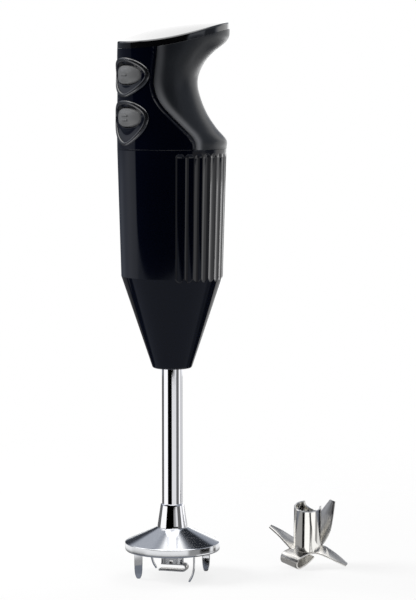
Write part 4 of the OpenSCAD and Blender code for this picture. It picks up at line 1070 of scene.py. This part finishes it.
# The hub is a copy of the CAD piece, its triangles merged into faces and its sharp edges rounded by a bevel
hub_soft, hub_sharp = 0.00018, math.radians(35)
work = bmesh.new()
work.from_mesh(frame["nodes"]["attachment_hub"].data)
bmesh.ops.remove_doubles(work, verts=work.verts, dist=1e-7)
bmesh.ops.dissolve_limit(work, angle_limit=math.radians(1.5), verts=work.verts, edges=work.edges)
mesh = bpy.data.meshes.new("hub_castle")
work.to_mesh(mesh)
work.free()
mesh.shade_smooth()
mesh.set_sharp_from_angle(angle=hub_sharp)
attachment_hub = put("hub_castle", mesh)
bevel = attachment_hub.modifiers.new("soft_edges", "BEVEL")
bevel.width, bevel.segments, bevel.limit_method, bevel.angle_limit = hub_soft, 2, "ANGLE", hub_sharp
attachment_hub.data.materials.append(hub_steel)
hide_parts("attachment_hub")
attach(attachment_hub, "attachment")

low, high = box("attachment_hub")
strip_turn, strip_t, strip_w, strip_low, strip_reach, strip_start = 42, 1.2, 6.0, 3.4, 9.8, -6.5
strip_top = low[2] - strip_t / 2
fold = (strip_top - strip_low) / 2
fold_x = strip_reach - fold - strip_t / 2
a = np.radians(np.arange(90, -91, -30))
course = np.vstack([[strip_start, strip_top], [0, strip_top],
                    np.stack([fold_x + fold * np.cos(a), strip_top - fold + fold * np.sin(a)], 1),
                    [0, strip_low], [-strip_reach + 2.4, strip_low], [-strip_reach + 1.6, strip_low - 0.4]])
hook = strip(course, [strip_w] * (len(course) - 1) + [strip_w * 0.8], strip_t, sections=60)
attachment_strip = solid("hook_strip", blade_steel, placed(hook, strip_turn), crease=50)
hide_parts("attachment_strip")
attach(attachment_strip, "attachment")


# ---- Loose blade ----
# A second attachment that stands beside the blender: four ground wings on a plate under a turned hub, whose
# wide mouth has a scallop in its rim. It leans on its folded wing and on the tip of its low one.

blade_lean, blade_turn, blade_low, blade_at = 16, -33, 12.2, (22, 86)
blade_hub_r, blade_hub_h, blade_bore, edge_soft = 8.5, 28.0, 5.3, 0.2
mouth_r, mouth_l, scallop_r, scallop_turn = 7.4, 7.0, 5.9, 145
plate_skin, wing_w, fold_h, blade_reach = 0.15, 10.0, 8.4, 26.5


def leaning(grid):
    """A grid tilted about the Y axis, then turned about the Z axis and moved to the loose blade's place."""
    c, s = math.cos(math.radians(blade_lean)), math.sin(math.radians(blade_lean))
    return placed(grid @ np.array([[c, 0, -s], [0, 1, 0], [s, 0, c]]), blade_turn, (*blade_at, blade_low))


def scalloped(outline, steps=360):
    """A turned grid whose upper points are cut down by a level cylinder through the rim: at radius r and
    angle a from the scallop the rim falls by the root of scallop_r squared less r sin a squared."""
    a = np.linspace(0, 2 * np.pi, steps + 1)
    a[-1] = 0
    r, z = outline[:, 0][None, :], outline[:, 1][None, :]
    off = r * np.sin(a)[:, None]
    fall = np.sqrt(np.clip(scallop_r ** 2 - off ** 2, 0, None))
    cut = blade_hub_h - np.where(np.cos(a)[:, None] > 0, fall, 0)
    z = np.where(z > blade_hub_h - mouth_l, np.minimum(z, cut - (blade_hub_h - z)), z)
    t = a[:, None] + math.radians(scallop_turn)
    return np.stack([r * np.cos(t), r * np.sin(t), z + 0 * t], -1)


outline = [[blade_bore, 0], [blade_hub_r - edge_soft, 0], [blade_hub_r, edge_soft]]
outline += [[blade_hub_r, z] for z in np.linspace(2, 20.5, 10)]
outline += [[blade_hub_r, blade_hub_h - edge_soft], [blade_hub_r - edge_soft, blade_hub_h],
            [mouth_r + edge_soft, blade_hub_h], [mouth_r, blade_hub_h - edge_soft]]
outline += [[mouth_r, blade_hub_h - mouth_l], [blade_bore, blade_hub_h - mouth_l - 0.01], [blade_bore, 0]]
blade_chrome = finish("blade_chrome", turned_marks, (0.84, 0.83, 0.8), 1.0, (0.76, 0.75, 0.72),
                      {"Lines": 2200.0, "Depth": 0.0000015, "Roughness": 0.1, "Spread": 0.08},
                      move=(-blade_at[0] / 1000, -blade_at[1] / 1000, 0))
blade_hub = solid("blade_hub", blade_chrome, leaning(scalloped(np.array(outline, float))), crease=35)
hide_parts("loose_blade_hub")
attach(blade_hub, "loose_blade")

a = np.radians(np.arange(90, -91, -22.5))
fold_r, fold_x = (fold_h - strip_t) / 2, blade_reach * 0.5
root = blade_bore + 0.6
folded = np.vstack([[root, 0], [9.5, 0], np.stack([fold_x + fold_r * np.cos(a), fold_r * (np.sin(a) - 1)], 1),
                    [7, -fold_r * 1.85], [-1, -fold_r * 1.5]])
flat_wing, long_wing, low_wing = ([[root, 0], [8.5, 0.4], [12, 2.6], [18, 6.6], [blade_reach * 0.94, 10.2]],
                                  [[root, 0], [8.2, 0.4], [10.4, 3], [13.4, 9], [17, 17], [22, 25.5]],
                                  [[root, 0], [9.5, 0], [14, -1.4], [20, -4], [blade_reach, -7.2]])
wings = [(-44, folded, [1.4] * (len(folded) - 2) + [1.35, 1.1], 0.0),
         (-112, flat_wing, [1.3, 1.3, 1.1, 0.75, 0.35], 0.04),
         (68, low_wing, [1.15, 1.15, 1, 0.75, 0.35], 0.04),
         (132, long_wing, [0.8, 0.95, 1.15, 1.35, 1.1, 0.45], 0.04)]
plate_low = -strip_t - 2 * plate_skin
outline = [[blade_bore, plate_low], [blade_hub_r, plate_low], [blade_hub_r, 0], [blade_bore, 0]]
plate = turned(rounded(outline, 0.2), 96)
wing_grids = []
for angle, course, widths, crown in wings:
    course = np.array(course, float) + [0, -plate_skin - strip_t / 2]
    wing_grids.append(placed(strip(course, wing_w * np.array(widths), strip_t, crown, 40), angle))
blade_wings = solid("blade_wings", blade_steel, *[leaning(grid) for grid in [plate, *wing_grids]], crease=40)
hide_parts("loose_blade_wings")
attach(blade_wings, "loose_blade")


# ---- Motor and drive ----
# Inside is a series motor between two cast brackets in rubber rings, its brushes, bearings and fan, the
# switches on their board, and the shaft that runs down the tube. These keep their CAD shapes and get their
# own finishes.

inner_finishes = {
    "ground_steel": (turned_marks, (0.6, 0.61, 0.62), 1.0, {"Roughness": 0.25}),
    "spring_steel": (brushed_marks, (0.62, 0.62, 0.6), 1.0, {"Roughness": 0.25}),
    "rubber_black": (moulded_skin, (0.02, 0.02, 0.02), 0.0, {"Roughness": 0.6, "Depth": 0.00001}),
    "board_green": (moulded_skin, (0.03, 0.13, 0.05), 0.0, {"Roughness": 0.4, "Grain": 900.0}),
    "switch_blue": (moulded_skin, (0.015, 0.025, 0.07), 0.0, {"Roughness": 0.25}),
    "capacitor_yellow": (moulded_skin, (0.65, 0.4, 0.05), 0.0, {"Roughness": 0.3}),
    "terminal_white": (moulded_skin, (0.78, 0.76, 0.7), 0.0, {"Roughness": 0.45}),
    "lamination": (turned_marks, (0.27, 0.28, 0.3), 1.0, {"Roughness": 0.45, "Depth": 2e-5, "Lines": 1200.0}),
    "copper": (turned_marks, (0.6, 0.27, 0.1), 0.9, {"Roughness": 0.35, "Depth": 0.00002, "Lines": 1800.0}),
    "cast_aluminium": (moulded_skin, (0.6, 0.61, 0.62), 0.9,
                       {"Roughness": 0.45, "Depth": 2e-5, "Grain": 1500.0}),
    "brass": (turned_marks, (0.6, 0.42, 0.16), 1.0, {"Roughness": 0.3}),
    "carbon": (moulded_skin, (0.03, 0.03, 0.032), 0.1, {"Roughness": 0.55, "Grain": 3000.0, "Depth": 1e-5}),
    "moulded_dark": (moulded_skin, (0.03, 0.033, 0.036), 0.0, {"Roughness": 0.5, "Depth": 0.00001})}
inner_materials = {slot: finish(f"{slot}_inside", group, colour, metallic, None, values)
                   for slot, (group, colour, metallic, values) in inner_finishes.items()}
for part in frame["record"]["subparts"]:
    node = frame["nodes"][part["node"]]
    if part["material_slot"] in inner_materials and not node.hide_render:
        node.data.materials.clear()
        node.data.materials.append(inner_materials[part["material_slot"]])


# ---- Button springs ----
# A coil of spring wire round each button's stem holds the button out. On the real blender its inner end
# stays on the switch, so it shortens when the button is pressed; here the whole coil moves with its button.

coil_r, wire_r, coil_turns, pressed_share = 4.3, 0.4, 4, 0.67
for button in ("upper_button", "lower_button"):
    low, high = box(f"{button}_spring")
    turn = np.linspace(0, 2 * np.pi * coil_turns, 36 * coil_turns + 1)[:, None]
    q = np.linspace(0, 2 * np.pi, 13)
    q[-1] = 0
    r = coil_r + wire_r * np.cos(q)
    y = low[1] + wire_r + (high[1] - low[1] - 2 * wire_r) * turn / turn[-1] + wire_r * np.sin(q)
    wire = np.stack([r * np.cos(turn), y, (low[2] + high[2]) / 2 + r * np.sin(turn)], -1)
    spring = solid(f"{button}_coil", inner_materials["spring_steel"], capped(wire), crease=60)
    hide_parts(f"{button}_spring")
    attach(spring, button)
    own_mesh(spring)
